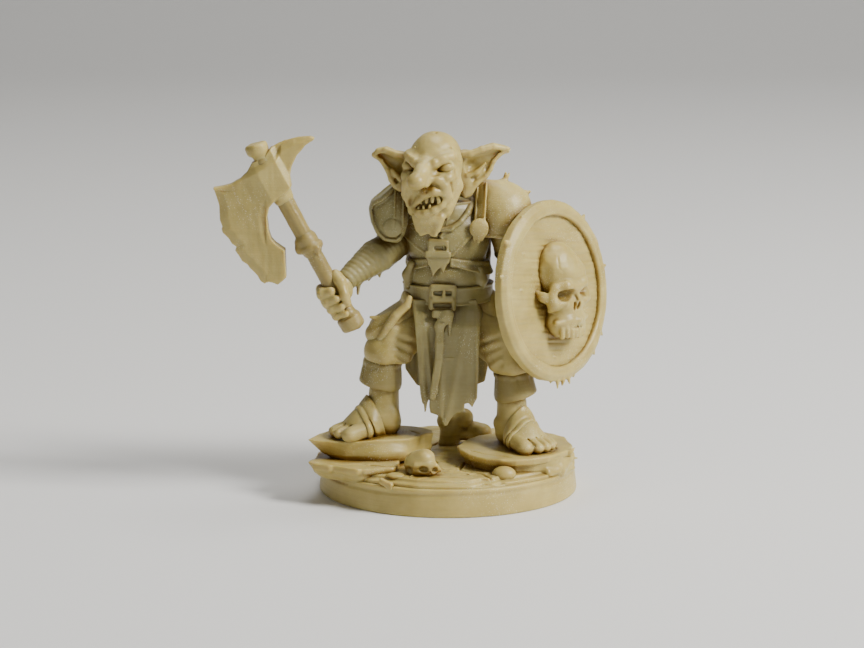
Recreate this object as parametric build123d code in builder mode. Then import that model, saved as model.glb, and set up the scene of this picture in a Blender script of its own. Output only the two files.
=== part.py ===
"""A cast-resin tabletop figure: a goblin warrior with a bearded axe and a round shield, on a
scenic round base. Each sculpted element is a solid of its own that sits face to face on its
neighbours, the way a multi-part figure is cut up for casting.

Frame: millimetres, +Z up, origin at the centre of the base's underside. The figure looks along
-Y, its shield arm is on +X and its axe arm on -X.
"""

from build123d import *
import os

# ---------------------------------------------------------------- driving dimensions
BASE_R = 16.0  # radius of the round base at the table
BASE_LIP_R = 15.65  # radius at the lip
BASE_H = 3.4
FLOOR_TOP = 4.3  # top of the flagstone floor
LEDGE_TOP = 5.0  # top of the thin ledge under the right-foot rock
RIGHT_ROCK_TOP = 7.5  # what the right foot stands on
LEFT_ROCK_TOP = 6.1  # what the left foot stands on

RIGHT_LEG_X, LEFT_LEG_X = -8.0, 7.9  # shins and cuffs
LEG_Y = -2.6
CUFF_H = 2.7  # the turned-up band below each knee
RIGHT_CUFF_Z, LEFT_CUFF_Z = 13.3, 12.2  # lower edges of the cuffs
ANKLE_CUT = 3.6  # height of the ankle seam above the sole
THIGH_TOP = 20.6  # seam between the trouser legs and the hips

BELT_Z, BELT_H, BELT_T = 23.4, 2.5, 0.55
WAIST_RX, WAIST_RY, WAIST_Y = 5.0, 3.7, -0.6
CHEST_TOP = 35.4
SHOULDER_Z = 34.6

HAFT_FOOT = Vector(-11.9, -6.2, 22.2)  # pommel end of the axe haft
HAFT_HEAD = Vector(-22.4, -6.6, 42.1)  # head end of the axe haft
HAFT_R, HAFT_GRIP_R = 1.15, 0.95
BLADE_Y, BLADE_T = -6.6, 1.1

SHIELD_C = Vector(13.0, -2.2, 25.1)  # centre of the shield's face
SHIELD_N = Vector(0.79, -0.60, 0.13)  # the way the shield faces
SHIELD_R, SHIELD_T = 11.1, 0.9
RIM_W, RIM_T = 1.5, 1.5

os.makedirs("parts", exist_ok=True)
finished = {}


def finish(node, name):
    """Labels the node, trims away nothing more, and writes its STEP file."""
    node.part.label = name
    finished[name] = node.part
    export_step(node.part, f"parts/{name}.step")


def give_way_to(*names):
    """Cuts the named finished nodes out of the part that is being built."""
    for name in names:
        add(finished[name], mode=Mode.SUBTRACT)


def oval(plane, half_width, half_height):
    """A flat ellipse on the plane, as a face."""
    with BuildSketch(plane) as section:
        Ellipse(half_width, half_height)
    return section.sketch.face()


def outline_face(plane, outline):
    """A flat face with straight edges on the plane."""
    with BuildSketch(plane) as section:
        with BuildLine():
            Polyline(*outline, close=True)
        make_face()
    return section.sketch.face()


def stack(levels):
    """Skins a solid through level ellipses, each (x, y, z, half width, half depth)."""
    loft([oval(Plane(origin=(x, y, z)), rx, ry) for x, y, z, rx, ry in levels])


def limb(stations):
    """Skins a solid through circles along a line of (point, radius) stations."""
    points = [Vector(*p) for p, _ in stations]
    sections = []
    for i, (_, radius) in enumerate(stations):
        ahead = points[min(i + 1, len(points) - 1)] - points[max(i - 1, 0)]
        level = Plane(origin=points[i], x_dir=ahead.cross(Vector(0.3, 1, 0.1)), z_dir=ahead)
        sections.append(oval(level, radius, radius))
    loft(sections)


def ellipsoid(centre, radii, turn=0, mode=Mode.ADD):
    """Adds an ellipsoid turned about Z, or cuts it, in the part that is being built."""
    unit = scale(Sphere(1, mode=Mode.PRIVATE), by=radii, mode=Mode.PRIVATE)
    add(Pos(*centre) * Rot(0, 0, turn) * unit, mode=mode)


def rock(top_outline, bottom_outline, bottom_z, top_z):
    """A broken slab: straight-edged outlines at two heights, skinned together."""
    low = outline_face(Plane.XY.offset(bottom_z), bottom_outline)
    high = outline_face(Plane.XY.offset(top_z), top_outline)
    loft([low, high], ruled=True)


# ---------------------------------------------------------------- scenic base
with BuildPart() as base_disc:
    with BuildSketch(Plane.XZ) as base_profile:
        with BuildLine():
            Polyline((0, 0), (BASE_R, 0), (BASE_LIP_R, BASE_H), (0, BASE_H), close=True)
        make_face()
    revolve(axis=Axis.Z)
    chamfer(base_disc.edges().group_by(Axis.Z)[0], 0.2)
finish(base_disc, "base_disc")

with BuildPart() as ledge:
    rock(
        [(-17.0, -8.2), (-14.6, -10.4), (-10.4, -11.6), (-6.4, -11.0), (-5.0, 2.0), (-9.0, 9.5), (-13.6, 7.4)],
        [(-14.6, -4.8), (-12.6, -8.6), (-9.8, -10.6), (-6.4, -10.4), (-5.0, 2.0), (-8.6, 9.0), (-12.6, 7.0)],
        BASE_H,
        LEDGE_TOP,
    )
finish(ledge, "left_ledge")

with BuildPart() as right_rock:
    rock(
        [(-17.2, -6.6), (-14.0, -8.3), (-9.6, -8.6), (-4.9, -7.4), (-1.6, -4.4), (-2.4, -0.6), (-7.0, 1.4), (-13.2, 0.4)],
        [(-13.8, -6.2), (-12.2, -8.2), (-9.2, -9.0), (-5.6, -8.2), (-2.8, -5.6), (-3.0, -1.6), (-7.0, 0.8), (-12.2, 0.0)],
        LEDGE_TOP,
        RIGHT_ROCK_TOP,
    )
finish(right_rock, "right_foot_rock")

with BuildPart() as rock_step:
    rock(
        [(3.2, -5.4), (5.4, -9.0), (9.0, -9.6), (13.4, -7.6), (15.0, -4.0), (13.2, 2.6), (6.0, 2.4)],
        [(4.2, -5.0), (6.0, -8.2), (9.2, -9.0), (14.2, -6.4), (15.2, -2.6), (13.4, 2.8), (6.4, 2.2)],
        BASE_H,
        LEFT_ROCK_TOP - 0.95,
    )
finish(rock_step, "left_rock_step")

with BuildPart() as left_rock:
    rock(
        [(1.0, -3.6), (2.6, -7.6), (6.4, -11.0), (12.0, -10.2), (15.3, -5.4), (13.8, 2.0), (8.8, 3.6), (3.6, 1.6)],
        [(1.6, -3.6), (3.2, -7.2), (6.8, -10.2), (11.8, -9.5), (14.8, -5.2), (13.4, 1.6), (8.6, 3.2), (4.0, 1.2)],
        LEFT_ROCK_TOP - 0.95,
        LEFT_ROCK_TOP,
    )
finish(left_rock, "left_foot_rock")

with BuildPart() as floor:
    rock(
        [(-9.6, -11.6), (-5.0, -14.1), (-0.8, -14.9), (2.2, -14.8), (3.1, -13.9), (5.2, -14.0),
         (9.4, -11.6), (13.2, -7.2), (14.6, 3.4), (10.4, 10.6), (0.6, 14.7), (-9.8, 11.2), (-14.4, 3.6)],
        [(-9.9, -11.9), (-5.2, -14.4), (-0.8, -15.2), (2.5, -15.0), (3.4, -14.3), (5.3, -14.2),
         (9.7, -11.9), (13.5, -7.4), (14.9, 3.6), (10.7, 10.9), (0.6, 15.0), (-10.1, 11.5), (-14.7, 3.7)],
        BASE_H,
        FLOOR_TOP,
    )
    give_way_to("left_ledge", "left_rock_step")
finish(floor, "flagstone_floor")

GROUND_SKULL = Vector(-3.1, -11.3, FLOOR_TOP)
with BuildPart() as ground_skull:
    ellipsoid(GROUND_SKULL + Vector(-0.3, 0.4, 1.0), (2.0, 2.0, 1.7))
    ellipsoid(GROUND_SKULL + Vector(1.2, -0.7, 0.7), (1.2, 1.0, 1.0))
    for dx in (0.1, 1.5):
        with Locations(GROUND_SKULL + Vector(dx, -1.75, 0.75)):
            Sphere(0.42, mode=Mode.SUBTRACT)
    split(bisect_by=Plane.XY.offset(FLOOR_TOP), keep=Keep.TOP)
finish(ground_skull, "ground_skull")

STONES = [(6.7, -11.8, 1.35), (9.8, -11.4, 0.7), (-6.6, -12.9, 0.8), (1.8, -12.9, 0.6), (0.6, -9.2, 0.7)]
with BuildPart() as rubble:
    for x, y, radius in STONES:
        with Locations((x, y, FLOOR_TOP)):
            Sphere(radius)
    split(bisect_by=Plane.XY.offset(FLOOR_TOP), keep=Keep.TOP)
finish(rubble, "rubble_stones")

BONE = Vector(1.0, 4.6, FLOOR_TOP)
with BuildPart() as bones:
    with Locations(BONE + Vector(0.9, 0, 3.2), BONE + Vector(-1.0, 0.2, 2.6), BONE + Vector(3.5, 0.4, 1.0)):
        Sphere(1.25)
    limb([(BONE + Vector(-0.4, 0, -0.5), 1.1), (BONE + Vector(-0.2, 0, 1.4), 0.9), (BONE + Vector(0, 0, 2.8), 1.1)])
    limb([(BONE + Vector(-0.2, 0.4, 0.9), 0.8), (BONE + Vector(1.6, 0.4, 0.8), 0.7), (BONE + Vector(3.4, 0.4, 0.9), 0.9)])
    split(bisect_by=Plane.XY.offset(FLOOR_TOP), keep=Keep.TOP)
    give_way_to("left_foot_rock", "left_rock_step")
finish(bones, "bones")


# ---------------------------------------------------------------- feet and legs
def foot(heel, toe_dir, sole_z, shin_x):
    """A bare broad foot: heel, arch, ball and four toes, flat below and cut at the ankle."""
    along = Vector(*toe_dir).normalized()
    side = Vector(-along.Y, along.X, 0)
    ground = Vector(heel[0], heel[1], sole_z)
    turn = degrees_of(along)
    ellipsoid(ground + along * 1.6 + Vector(0, 0, 1.3), (2.6, 1.9, 2.2), turn)
    ellipsoid(ground + along * 4.4 + Vector(0, 0, 0.9), (3.2, 2.3, 2.3), turn)
    for i, reach in enumerate((7.7, 7.6, 7.3, 6.9)):
        with Locations(ground + along * reach + side * (1.05 * i - 1.6) + Vector(0, 0, 0.6)):
            Sphere(0.85 if i == 0 else 0.68)
    with Locations((shin_x, LEG_Y, sole_z + ANKLE_CUT / 2)):
        Cylinder(1.8, ANKLE_CUT)
    split(bisect_by=Plane.XY.offset(sole_z), keep=Keep.TOP)
    split(bisect_by=Plane.XY.offset(sole_z + ANKLE_CUT), keep=Keep.BOTTOM)


def degrees_of(direction):
    """The angle of a level direction from +X towards +Y."""
    return Vector(1, 0, 0).get_signed_angle(direction, Vector(0, 0, 1))


RIGHT_HEEL, RIGHT_TOES = (-6.9, -2.4), (-0.90, -0.44, 0)
LEFT_HEEL, LEFT_TOES = (7.2, -1.6), (0.58, -0.81, 0)

with BuildPart() as right_foot:
    foot(RIGHT_HEEL, RIGHT_TOES, RIGHT_ROCK_TOP, RIGHT_LEG_X)
finish(right_foot, "right_foot")

with BuildPart() as left_foot:
    foot(LEFT_HEEL, LEFT_TOES, LEFT_ROCK_TOP, LEFT_LEG_X)
finish(left_foot, "left_foot")


def instep_band(heel, toe_dir, sole_z, foot_name):
    """The cloth band wound over the instep: a flat ring, with the foot itself cut out of it."""
    along = Vector(*toe_dir).normalized()
    middle = Vector(heel[0], heel[1], sole_z + 0.9) + along * 4.0
    rear = Plane(origin=middle - along * 0.55, x_dir=(-along.Y, along.X, 0), z_dir=along)
    extrude(oval(rear, 2.65, 2.65), amount=1.1)
    split(bisect_by=Plane.XY.offset(sole_z), keep=Keep.TOP)
    give_way_to(foot_name)


with BuildPart() as right_band:
    instep_band(RIGHT_HEEL, RIGHT_TOES, RIGHT_ROCK_TOP, "right_foot")
finish(right_band, "right_instep_band")

with BuildPart() as left_band:
    instep_band(LEFT_HEEL, LEFT_TOES, LEFT_ROCK_TOP, "left_foot")
finish(left_band, "left_instep_band")


def shin(x, sole_z, cuff_z):
    """The bare shin between the ankle seam and the trouser cuff."""
    ankle_z = sole_z + ANKLE_CUT
    stack([(x, LEG_Y, ankle_z, 1.75, 1.8), (x, LEG_Y, (ankle_z + cuff_z) / 2, 1.7, 1.75), (x, LEG_Y, cuff_z, 1.9, 1.9)])


def cuff(x, low_z):
    """The full band of cloth below the knee, wider than the shin."""
    stack([(x, LEG_Y, low_z, 2.55, 2.6), (x, LEG_Y, low_z + 1.2, 2.85, 2.9), (x, LEG_Y, low_z + CUFF_H, 2.7, 2.8)])


def trouser_leg(x, knee_z, side):
    """The puffed trouser leg from the cuff to the seam at the hip."""
    stack([
        (x, LEG_Y, knee_z, 2.75, 2.85),
        (x - side * 0.5, LEG_Y + 0.1, knee_z + 1.4, 3.3, 3.3),
        (x - side * 2.2, LEG_Y + 0.9, (knee_z + THIGH_TOP) / 2 + 1.0, 3.6, 3.6),
        (side * 3.3, -1.0, THIGH_TOP, 3.2, 3.3),
    ])
    split(bisect_by=Plane.YZ, keep=Keep.TOP if side > 0 else Keep.BOTTOM)


for name, x, sole_z, cuff_z, side in (
    ("right", RIGHT_LEG_X, RIGHT_ROCK_TOP, RIGHT_CUFF_Z, -1),
    ("left", LEFT_LEG_X, LEFT_ROCK_TOP, LEFT_CUFF_Z, 1),
):
    with BuildPart() as piece:
        shin(x, sole_z, cuff_z)
    finish(piece, f"{name}_shin")
    with BuildPart() as piece:
        cuff(x, cuff_z)
    finish(piece, f"{name}_trouser_cuff")
    with BuildPart() as piece:
        trouser_leg(x, cuff_z + CUFF_H, side)
    finish(piece, f"{name}_trouser_leg")

# ---------------------------------------------------------------- hips, belt and torso
with BuildPart() as hips:
    stack([(0, -0.8, THIGH_TOP, 5.9, 3.9), (0, -0.7, 22.0, 5.6, 3.9), (0, WAIST_Y, BELT_Z, 5.2, 3.9)])
    with BuildSketch(Plane(origin=(0, WAIST_Y, BELT_Z))):
        Ellipse(WAIST_RX, WAIST_RY)
    extrude(amount=BELT_H)
finish(hips, "hips")

BUCKLE = Vector(-0.7, WAIST_Y - WAIST_RY - 0.35, BELT_Z + BELT_H / 2 - 0.1)  # its back, let into the belt
with BuildPart() as buckle:
    with BuildSketch(Plane(origin=BUCKLE, x_dir=(1, 0, 0), z_dir=(0, -1, 0))):
        RectangleRounded(3.4, 3.1, 0.3)
    extrude(amount=1.0)
    with BuildSketch(Plane(origin=BUCKLE - Vector(0, 1.0, 0), x_dir=(1, 0, 0), z_dir=(0, -1, 0))):
        with Locations((0, 0.55), (0, -0.75)):
            SlotOverall(2.1, 0.62)
    extrude(amount=-0.5, mode=Mode.SUBTRACT)
    give_way_to("hips")
finish(buckle, "belt_buckle")

with BuildPart() as belt:
    with BuildSketch(Plane(origin=(0, WAIST_Y, BELT_Z))):
        Ellipse(WAIST_RX + BELT_T, WAIST_RY + BELT_T)
        Ellipse(WAIST_RX, WAIST_RY, mode=Mode.SUBTRACT)
    extrude(amount=BELT_H)
    give_way_to("belt_buckle")
finish(belt, "waist_belt")

CHEST = [
    (0, WAIST_Y, BELT_Z + BELT_H, 4.9, 3.6),
    (0, WAIST_Y, 28.4, 5.2, 3.9),
    (-0.2, -0.6, 31.0, 5.4, 3.8),
    (-0.3, -0.6, 33.6, 5.2, 3.5),
    (-0.4, -0.9, CHEST_TOP, 3.6, 2.9),
]
CHEST_BUCKLE = Vector(-1.2, -4.2, 30.5)  # the middle of its back, let into the chest
with BuildPart() as chest_buckle:
    with BuildSketch(Plane(origin=CHEST_BUCKLE, x_dir=(1, 0, 0), z_dir=(0, -1, 0))):
        RectangleRounded(2.5, 2.7, 0.3)
    extrude(amount=1.2)
    with BuildSketch(Plane(origin=CHEST_BUCKLE - Vector(0, 1.2, 0), x_dir=(1, 0, 0), z_dir=(0, -1, 0))):
        RectangleRounded(1.3, 1.2, 0.2)
    extrude(amount=-0.5, mode=Mode.SUBTRACT)
finish(chest_buckle, "chest_buckle")

with BuildPart() as torso:
    stack(CHEST)
    give_way_to("chest_buckle")
finish(torso, "torso")

with BuildPart() as harness:
    stack([(x, y, z, rx + 0.45, ry + 0.45) for x, y, z, rx, ry in CHEST])
    with BuildSketch(Plane(origin=(0, -12, 0), x_dir=(1, 0, 0), z_dir=(0, -1, 0))):
        with BuildLine():
            Polyline((-6.2, 34.2), (-6.2, 31.6), (-2.6, 29.2), (-6.2, 28.2), (-6.2, 26.9), (-1.4, 28.3),
                     (1.2, 28.5), (6.2, 26.9), (6.2, 28.2), (1.4, 29.6), (6.2, 32.2), (6.2, 34.4),
                     (1.8, 31.4), (-3.6, 31.4), close=True)
        make_face()
    extrude(amount=-12.2, mode=Mode.INTERSECT)
    give_way_to("torso", "chest_buckle")
finish(harness, "chest_harness")

NECK_TOP = 37.2
with BuildPart() as neck:
    stack([(-0.6, -1.6, CHEST_TOP, 2.3, 2.0), (-0.9, -2.4, 36.4, 2.1, 1.9), (-1.2, -3.0, NECK_TOP, 2.1, 2.0)])
finish(neck, "neck")

with BuildPart() as collar:
    with Locations((-0.6, -1.7, CHEST_TOP + 0.45)):
        Torus(2.85, 0.5)
    split(bisect_by=Plane.XY.offset(CHEST_TOP), keep=Keep.TOP)
    give_way_to("neck")
finish(collar, "neck_collar")

# ---------------------------------------------------------------- head
FACE = Vector(-0.40, -0.90, 0).normalized()  # where the head is turned
FACE_SIDE = Vector(-FACE.Y, FACE.X, 0)  # towards the left ear
FACE_TURN = degrees_of(FACE)
CROWN = Vector(-1.6, -3.6, 45.0)


def in_head(forward, left, z):
    """A point given ahead of and beside the head's middle line."""
    return Vector(CROWN.X, CROWN.Y, z) + FACE * forward + FACE_SIDE * left


with BuildPart() as head:
    for forward, z, half_length, half_width in (
        (0.6, NECK_TOP, 3.0, 2.5),
        (0.9, 38.6, 3.5, 3.0),
        (0.5, 40.6, 3.9, 3.45),
        (0.2, 42.6, 3.6, 3.3),
        (0.0, 44.2, 2.5, 2.3),
        (-0.1, CROWN.Z, 0.9, 0.8),
    ):
        with BuildSketch(Plane(origin=in_head(forward, 0, z), x_dir=FACE)):
            Ellipse(half_length, half_width)
    loft()
    for left in (-1.35, 1.35):
        ellipsoid(in_head(3.55, left, 42.1), (0.9, 1.5, 0.75), FACE_TURN)
    ellipsoid(in_head(3.4, 0, 38.8), (1.9, 2.1, 1.2), FACE_TURN)
finish(head, "head")

with BuildPart() as nose:
    limb([(in_head(3.4, 0, 41.4), 0.8), (in_head(4.9, 0, 40.9), 0.95), (in_head(6.0, 0, 40.0), 1.05), (in_head(6.5, 0, 39.3), 0.8)])
    for left in (-0.75, 0.75):
        with Locations(in_head(5.2, left, 39.7)):
            Sphere(0.62)
    give_way_to("head")
finish(nose, "nose")

JAW_TOP = 36.7
with BuildPart() as jaw:
    for forward, z, half_length, half_width in ((2.6, 34.6, 1.5, 1.5), (2.7, 35.4, 2.5, 2.1), (2.8, JAW_TOP, 2.9, 2.5)):
        with BuildSketch(Plane(origin=in_head(forward, 0, z), x_dir=FACE)):
            Ellipse(half_length, half_width)
    loft()
    with BuildSketch(Plane(origin=in_head(1.7, 0, JAW_TOP - 0.2), x_dir=FACE)):
        Ellipse(2.2, 2.0)
    extrude(amount=NECK_TOP + 0.9 - JAW_TOP)
    give_way_to("neck", "neck_collar", "head")
finish(jaw, "lower_jaw")

with BuildPart() as beard:
    for forward, z, half_length, half_width in ((3.3, 33.1, 0.5, 1.1), (3.2, 34.0, 0.75, 1.3), (3.0, 34.6, 1.0, 1.45)):
        with BuildSketch(Plane(origin=in_head(forward, 0, z), x_dir=FACE)):
            Ellipse(half_length, half_width)
    loft()
finish(beard, "chin_beard")

with BuildPart() as teeth:
    for left in (-1.3, -0.5, 0.4, 1.2):
        ahead = 4.6 - 0.35 * left * left
        with BuildSketch(Plane(origin=in_head(ahead, left, JAW_TOP))):
            Circle(0.3)
        with BuildSketch(Plane(origin=in_head(ahead + 0.1, left, JAW_TOP + 0.85))):
            Circle(0.08)
        loft()
finish(teeth, "lower_teeth")

with BuildPart() as eyes:
    for left in (-1.45, 1.45):
        with Locations(in_head(3.95, left, 41.0)):
            Sphere(0.6)
    give_way_to("head")
finish(eyes, "eyes")


def ear(root, tip, mid, front):
    """A long pointed ear: upright thin ovals from the root to the tip, dished in front."""
    out = (tip - root).normalized()
    flat = Vector(out.X, out.Y, 0).normalized()
    sections = []
    outer = (mid + tip) / 2 + Vector(0, 0, 0.35)
    for centre, half_height, half_thickness in ((root, 2.6, 0.55), (mid, 1.9, 0.5), (outer, 1.1, 0.42), (tip, 0.3, 0.25)):
        upright = Plane(origin=centre, x_dir=(0, 0, 1), z_dir=flat)
        sections.append(oval(upright, half_height, half_thickness))
    loft(sections)
    ellipsoid(mid + front * 0.75, (1.6, 0.62, 1.0), degrees_of(flat), mode=Mode.SUBTRACT)


with BuildPart() as left_ear:
    ear(Vector(1.0, -3.4, 40.2), Vector(7.5, -1.4, 42.2), Vector(3.6, -2.6, 40.4), Vector(0.2, -1, 0))
    give_way_to("head")
finish(left_ear, "left_ear")

with BuildPart() as right_ear:
    ear(Vector(-4.6, -3.6, 40.4), Vector(-9.2, -2.0, 41.6), Vector(-6.4, -3.0, 40.6), Vector(-0.2, -1, 0))
    give_way_to("head")
finish(right_ear, "right_ear")


# ---------------------------------------------------------------- arms and shoulder plates
def arm(stations, *neighbours):
    limb(stations)
    give_way_to(*neighbours)


with BuildPart() as right_upper_arm:
    arm([((-6.2, -0.4, SHOULDER_Z), 1.7), ((-6.6, 0.4, 32.4), 1.9), ((-6.9, 0.6, 29.9), 1.7)], "torso", "chest_harness")
finish(right_upper_arm, "right_upper_arm")

RIGHT_WRIST = Vector(-12.2, -5.2, 26.9)
with BuildPart() as right_forearm:
    arm([((-6.2, 0.7, 30.2), 1.9), ((-8.4, -1.7, 29.4), 2.15), (RIGHT_WRIST, 1.35)],
        "right_upper_arm", "torso", "chest_harness")
finish(right_forearm, "right_forearm_wrap")

with BuildPart() as haft:
    limb([(HAFT_FOOT, HAFT_GRIP_R), (HAFT_FOOT + (HAFT_HEAD - HAFT_FOOT) * 0.42, HAFT_GRIP_R), (HAFT_HEAD, HAFT_R)])
finish(haft, "axe_haft")

RIGHT_FIST = Vector(-13.7, -6.3, 26.0)
with BuildPart() as right_hand:
    ellipsoid(RIGHT_FIST, (2.2, 1.9, 2.2))
    along = (HAFT_HEAD - HAFT_FOOT).normalized()
    for i in range(4):
        with Locations(RIGHT_FIST + along * (1.5 - i) + Vector(-0.5, -1.3, -0.1)):
            Sphere(0.85)
    give_way_to("axe_haft", "right_forearm_wrap")
finish(right_hand, "right_hand")

with BuildPart() as left_upper_arm:
    arm([((6.0, -0.4, SHOULDER_Z + 0.4), 1.8), ((6.8, 0.6, 32.2), 1.9), ((7.6, 1.0, 29.4), 1.7)], "torso", "chest_harness")
finish(left_upper_arm, "left_upper_arm")

with BuildPart() as left_forearm:
    arm([((7.4, 1.2, 29.8), 1.8), ((8.6, 0.9, 27.6), 1.9), ((9.7, 0.2, 25.8), 1.4)], "left_upper_arm", "torso")
finish(left_forearm, "left_forearm")


def shoulder_plate(centre, outer, wall, low_z, *neighbours):
    """A domed plate over the shoulder, open below, hollow over the arm."""
    ellipsoid(centre, outer)
    ellipsoid(Vector(*centre) - Vector(0, 0, 0.4), tuple(r - wall for r in outer), mode=Mode.SUBTRACT)
    split(bisect_by=Plane.XY.offset(low_z), keep=Keep.TOP)
    give_way_to(*neighbours)


RIGHT_PLATE, RIGHT_PLATE_R = (-6.7, -0.8, 33.9), (2.9, 3.4, 4.2)  # centre and half sizes
LEFT_PLATE, LEFT_PLATE_R = (6.5, -0.6, 34.2), (3.8, 3.7, 4.4)

with BuildPart() as right_plate:
    shoulder_plate(RIGHT_PLATE, RIGHT_PLATE_R, 0.55, 32.2, "torso", "chest_harness", "right_upper_arm",
                   "right_ear", "neck_collar")
finish(right_plate, "right_shoulder_plate")

with BuildPart() as left_plate:
    shoulder_plate(LEFT_PLATE, LEFT_PLATE_R, 0.55, 32.6, "torso", "chest_harness", "left_upper_arm",
                   "left_ear", "neck_collar")
    for spike_foot, spike_tip in (((6.9, 0.6, 37.9), (7.4, 0.9, 39.4)), ((9.0, 0.0, 36.6), (10.2, 0.2, 37.7))):
        limb([(spike_foot, 0.5), (spike_tip, 0.15)])
finish(left_plate, "left_shoulder_plate")


def plate_lappet(centre, outer, x, top_z, low_z, width):
    """The upright strap laid over the front of a shoulder plate, ending in a round stud."""
    ellipsoid(centre, tuple(r + 0.55 for r in outer))
    length = top_z - low_z
    with BuildSketch(Plane(origin=(x, -12, low_z), x_dir=(1, 0, 0), z_dir=(0, -1, 0))) as strip:
        with Locations((0, length / 2)):
            Rectangle(width, length)
        Circle(width * 0.85)
    extrude(strip.sketch, amount=-10.5, mode=Mode.INTERSECT)
    ellipsoid(centre, outer, mode=Mode.SUBTRACT)


with BuildPart() as right_lappet:
    plate_lappet(RIGHT_PLATE, RIGHT_PLATE_R, -6.4, 36.8, 33.4, 1.2)
finish(right_lappet, "right_plate_lappet")

with BuildPart() as left_lappet:
    plate_lappet(LEFT_PLATE, LEFT_PLATE_R, 4.3, 37.0, 33.6, 1.1)
    give_way_to("torso", "chest_harness", "left_ear", "head")
finish(left_lappet, "left_plate_lappet")

# ---------------------------------------------------------------- axe
ALONG = (HAFT_HEAD - HAFT_FOOT).normalized()


def on_haft(share):
    return HAFT_FOOT + (HAFT_HEAD - HAFT_FOOT) * share


with BuildPart() as axe_head:
    with BuildSketch(Plane(origin=(0, BLADE_Y, 0), x_dir=(1, 0, 0), z_dir=(0, -1, 0))) as blade:
        with BuildLine():
            Line((-28.2, 38.5), (-26.0, 39.2))
            Spline((-26.0, 39.2), (-24.2, 40.5), (-22.4, 42.6))
            Line((-22.4, 42.6), (-20.9, 43.6))
            Spline((-20.9, 43.6), (-18.6, 44.6), (-16.2, 44.6))
            Spline((-16.2, 44.6), (-18.2, 42.9), (-19.1, 40.2))
            Polyline((-19.1, 40.2), (-19.0, 38.4), (-20.9, 37.1))
            Spline((-20.9, 37.1), (-21.8, 34.6), (-21.1, 32.0), (-19.7, 31.0))
            Polyline((-19.7, 31.0), (-19.6, 27.9), (-20.5, 26.9), (-21.4, 27.2), (-22.4, 26.9), (-24.1, 29.0), (-25.2, 30.0))
            Polyline((-25.2, 30.0), (-25.8, 31.2), (-27.0, 32.8), (-27.4, 34.6), (-27.8, 36.6), (-28.2, 38.5))
        make_face()
    extrude(amount=BLADE_T / 2, both=True)
    limb([(on_haft(0.79), 1.75), (on_haft(0.9), 1.8), (on_haft(0.99), 1.6)])
    give_way_to("axe_haft")
finish(axe_head, "axe_head")

with BuildPart() as axe_cap:
    cap_side = ALONG.cross(Vector(0, 1, 0)).normalized()
    cap_section = Plane(origin=HAFT_HEAD, x_dir=cap_side, z_dir=cap_side.cross(ALONG))
    with BuildSketch(cap_section):
        with BuildLine():
            Polyline((0, 2.2), (0, 0), (1.2, 0), (1.2, 0.3))
            Spline((1.2, 0.3), (1.35, 1.2), (0.9, 2.0), (0, 2.2))
        make_face()
    revolve(axis=Axis(HAFT_HEAD, ALONG))
    give_way_to("axe_head")
finish(axe_cap, "axe_top_knob")

with BuildPart() as axe_collar:
    limb([(on_haft(0.41), 1.3), (on_haft(0.455), 1.5), (on_haft(0.5), 1.3)])
    give_way_to("axe_haft")
finish(axe_collar, "axe_collar")

with BuildPart() as pommel:
    with Locations(HAFT_FOOT - ALONG * 0.4):
        Sphere(1.5)
    limb([(HAFT_FOOT - ALONG * 1.9, 0.6), (HAFT_FOOT - ALONG * 0.6, 1.3)])
    give_way_to("axe_haft", "right_hand")
finish(pommel, "axe_pommel")

# ---------------------------------------------------------------- shield
FACE_PLANE = Plane(origin=SHIELD_C, x_dir=Vector(0.6, 0.8, 0), z_dir=SHIELD_N)

with BuildPart() as board:
    with BuildSketch(FACE_PLANE):
        Circle(SHIELD_R - RIM_W)
    extrude(amount=-SHIELD_T)
finish(board, "shield_board")

with BuildPart() as rim:
    with BuildSketch(FACE_PLANE.offset(0.5)):
        Circle(SHIELD_R)
        Circle(SHIELD_R - RIM_W, mode=Mode.SUBTRACT)
    extrude(amount=-RIM_T)
    chamfer(rim.faces().sort_by(Axis(FACE_PLANE.origin, FACE_PLANE.z_dir))[-1].edges(), 0.35)
finish(rim, "shield_rim")


def on_shield(right, up, out=0.0):
    """A point given in the shield's face."""
    return FACE_PLANE.from_local_coords((right, up, out))


SHIELD_TURN = degrees_of(Vector(0.6, 0.8, 0))
with BuildPart() as emblem:
    ellipsoid(on_shield(0.6, 1.6, 0.2), (3.3, 2.4, 4.4), SHIELD_TURN)
    ellipsoid(on_shield(1.2, -3.2, 0.4), (2.1, 1.9, 2.6), SHIELD_TURN)
    with Locations(on_shield(0.0, -0.9, 2.6), on_shield(2.6, -0.9, 2.4)):
        Sphere(0.95, mode=Mode.SUBTRACT)
    split(bisect_by=FACE_PLANE, keep=Keep.TOP)
finish(emblem, "shield_skull_emblem")

with BuildPart() as grip:
    with BuildSketch(FACE_PLANE.offset(-SHIELD_T)):
        for right in (-2.2, 2.2):
            with Locations((right, 0)):
                Rectangle(1.0, 1.4)
    extrude(amount=-1.6)
    with BuildSketch(FACE_PLANE.offset(-SHIELD_T - 1.6)):
        Rectangle(5.4, 1.4)
    extrude(amount=-0.8)
finish(grip, "shield_grip")

with BuildPart() as left_hand:
    with BuildSketch(Plane(origin=on_shield(-1.6, 0, -SHIELD_T - 2.0), z_dir=FACE_PLANE.x_dir)):
        Circle(1.6)
    extrude(amount=3.2)
    chamfer(left_hand.edges(), 0.4)
    split(bisect_by=FACE_PLANE.offset(-SHIELD_T), keep=Keep.BOTTOM)
    give_way_to("shield_grip", "left_forearm")
finish(left_hand, "left_hand")


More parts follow.
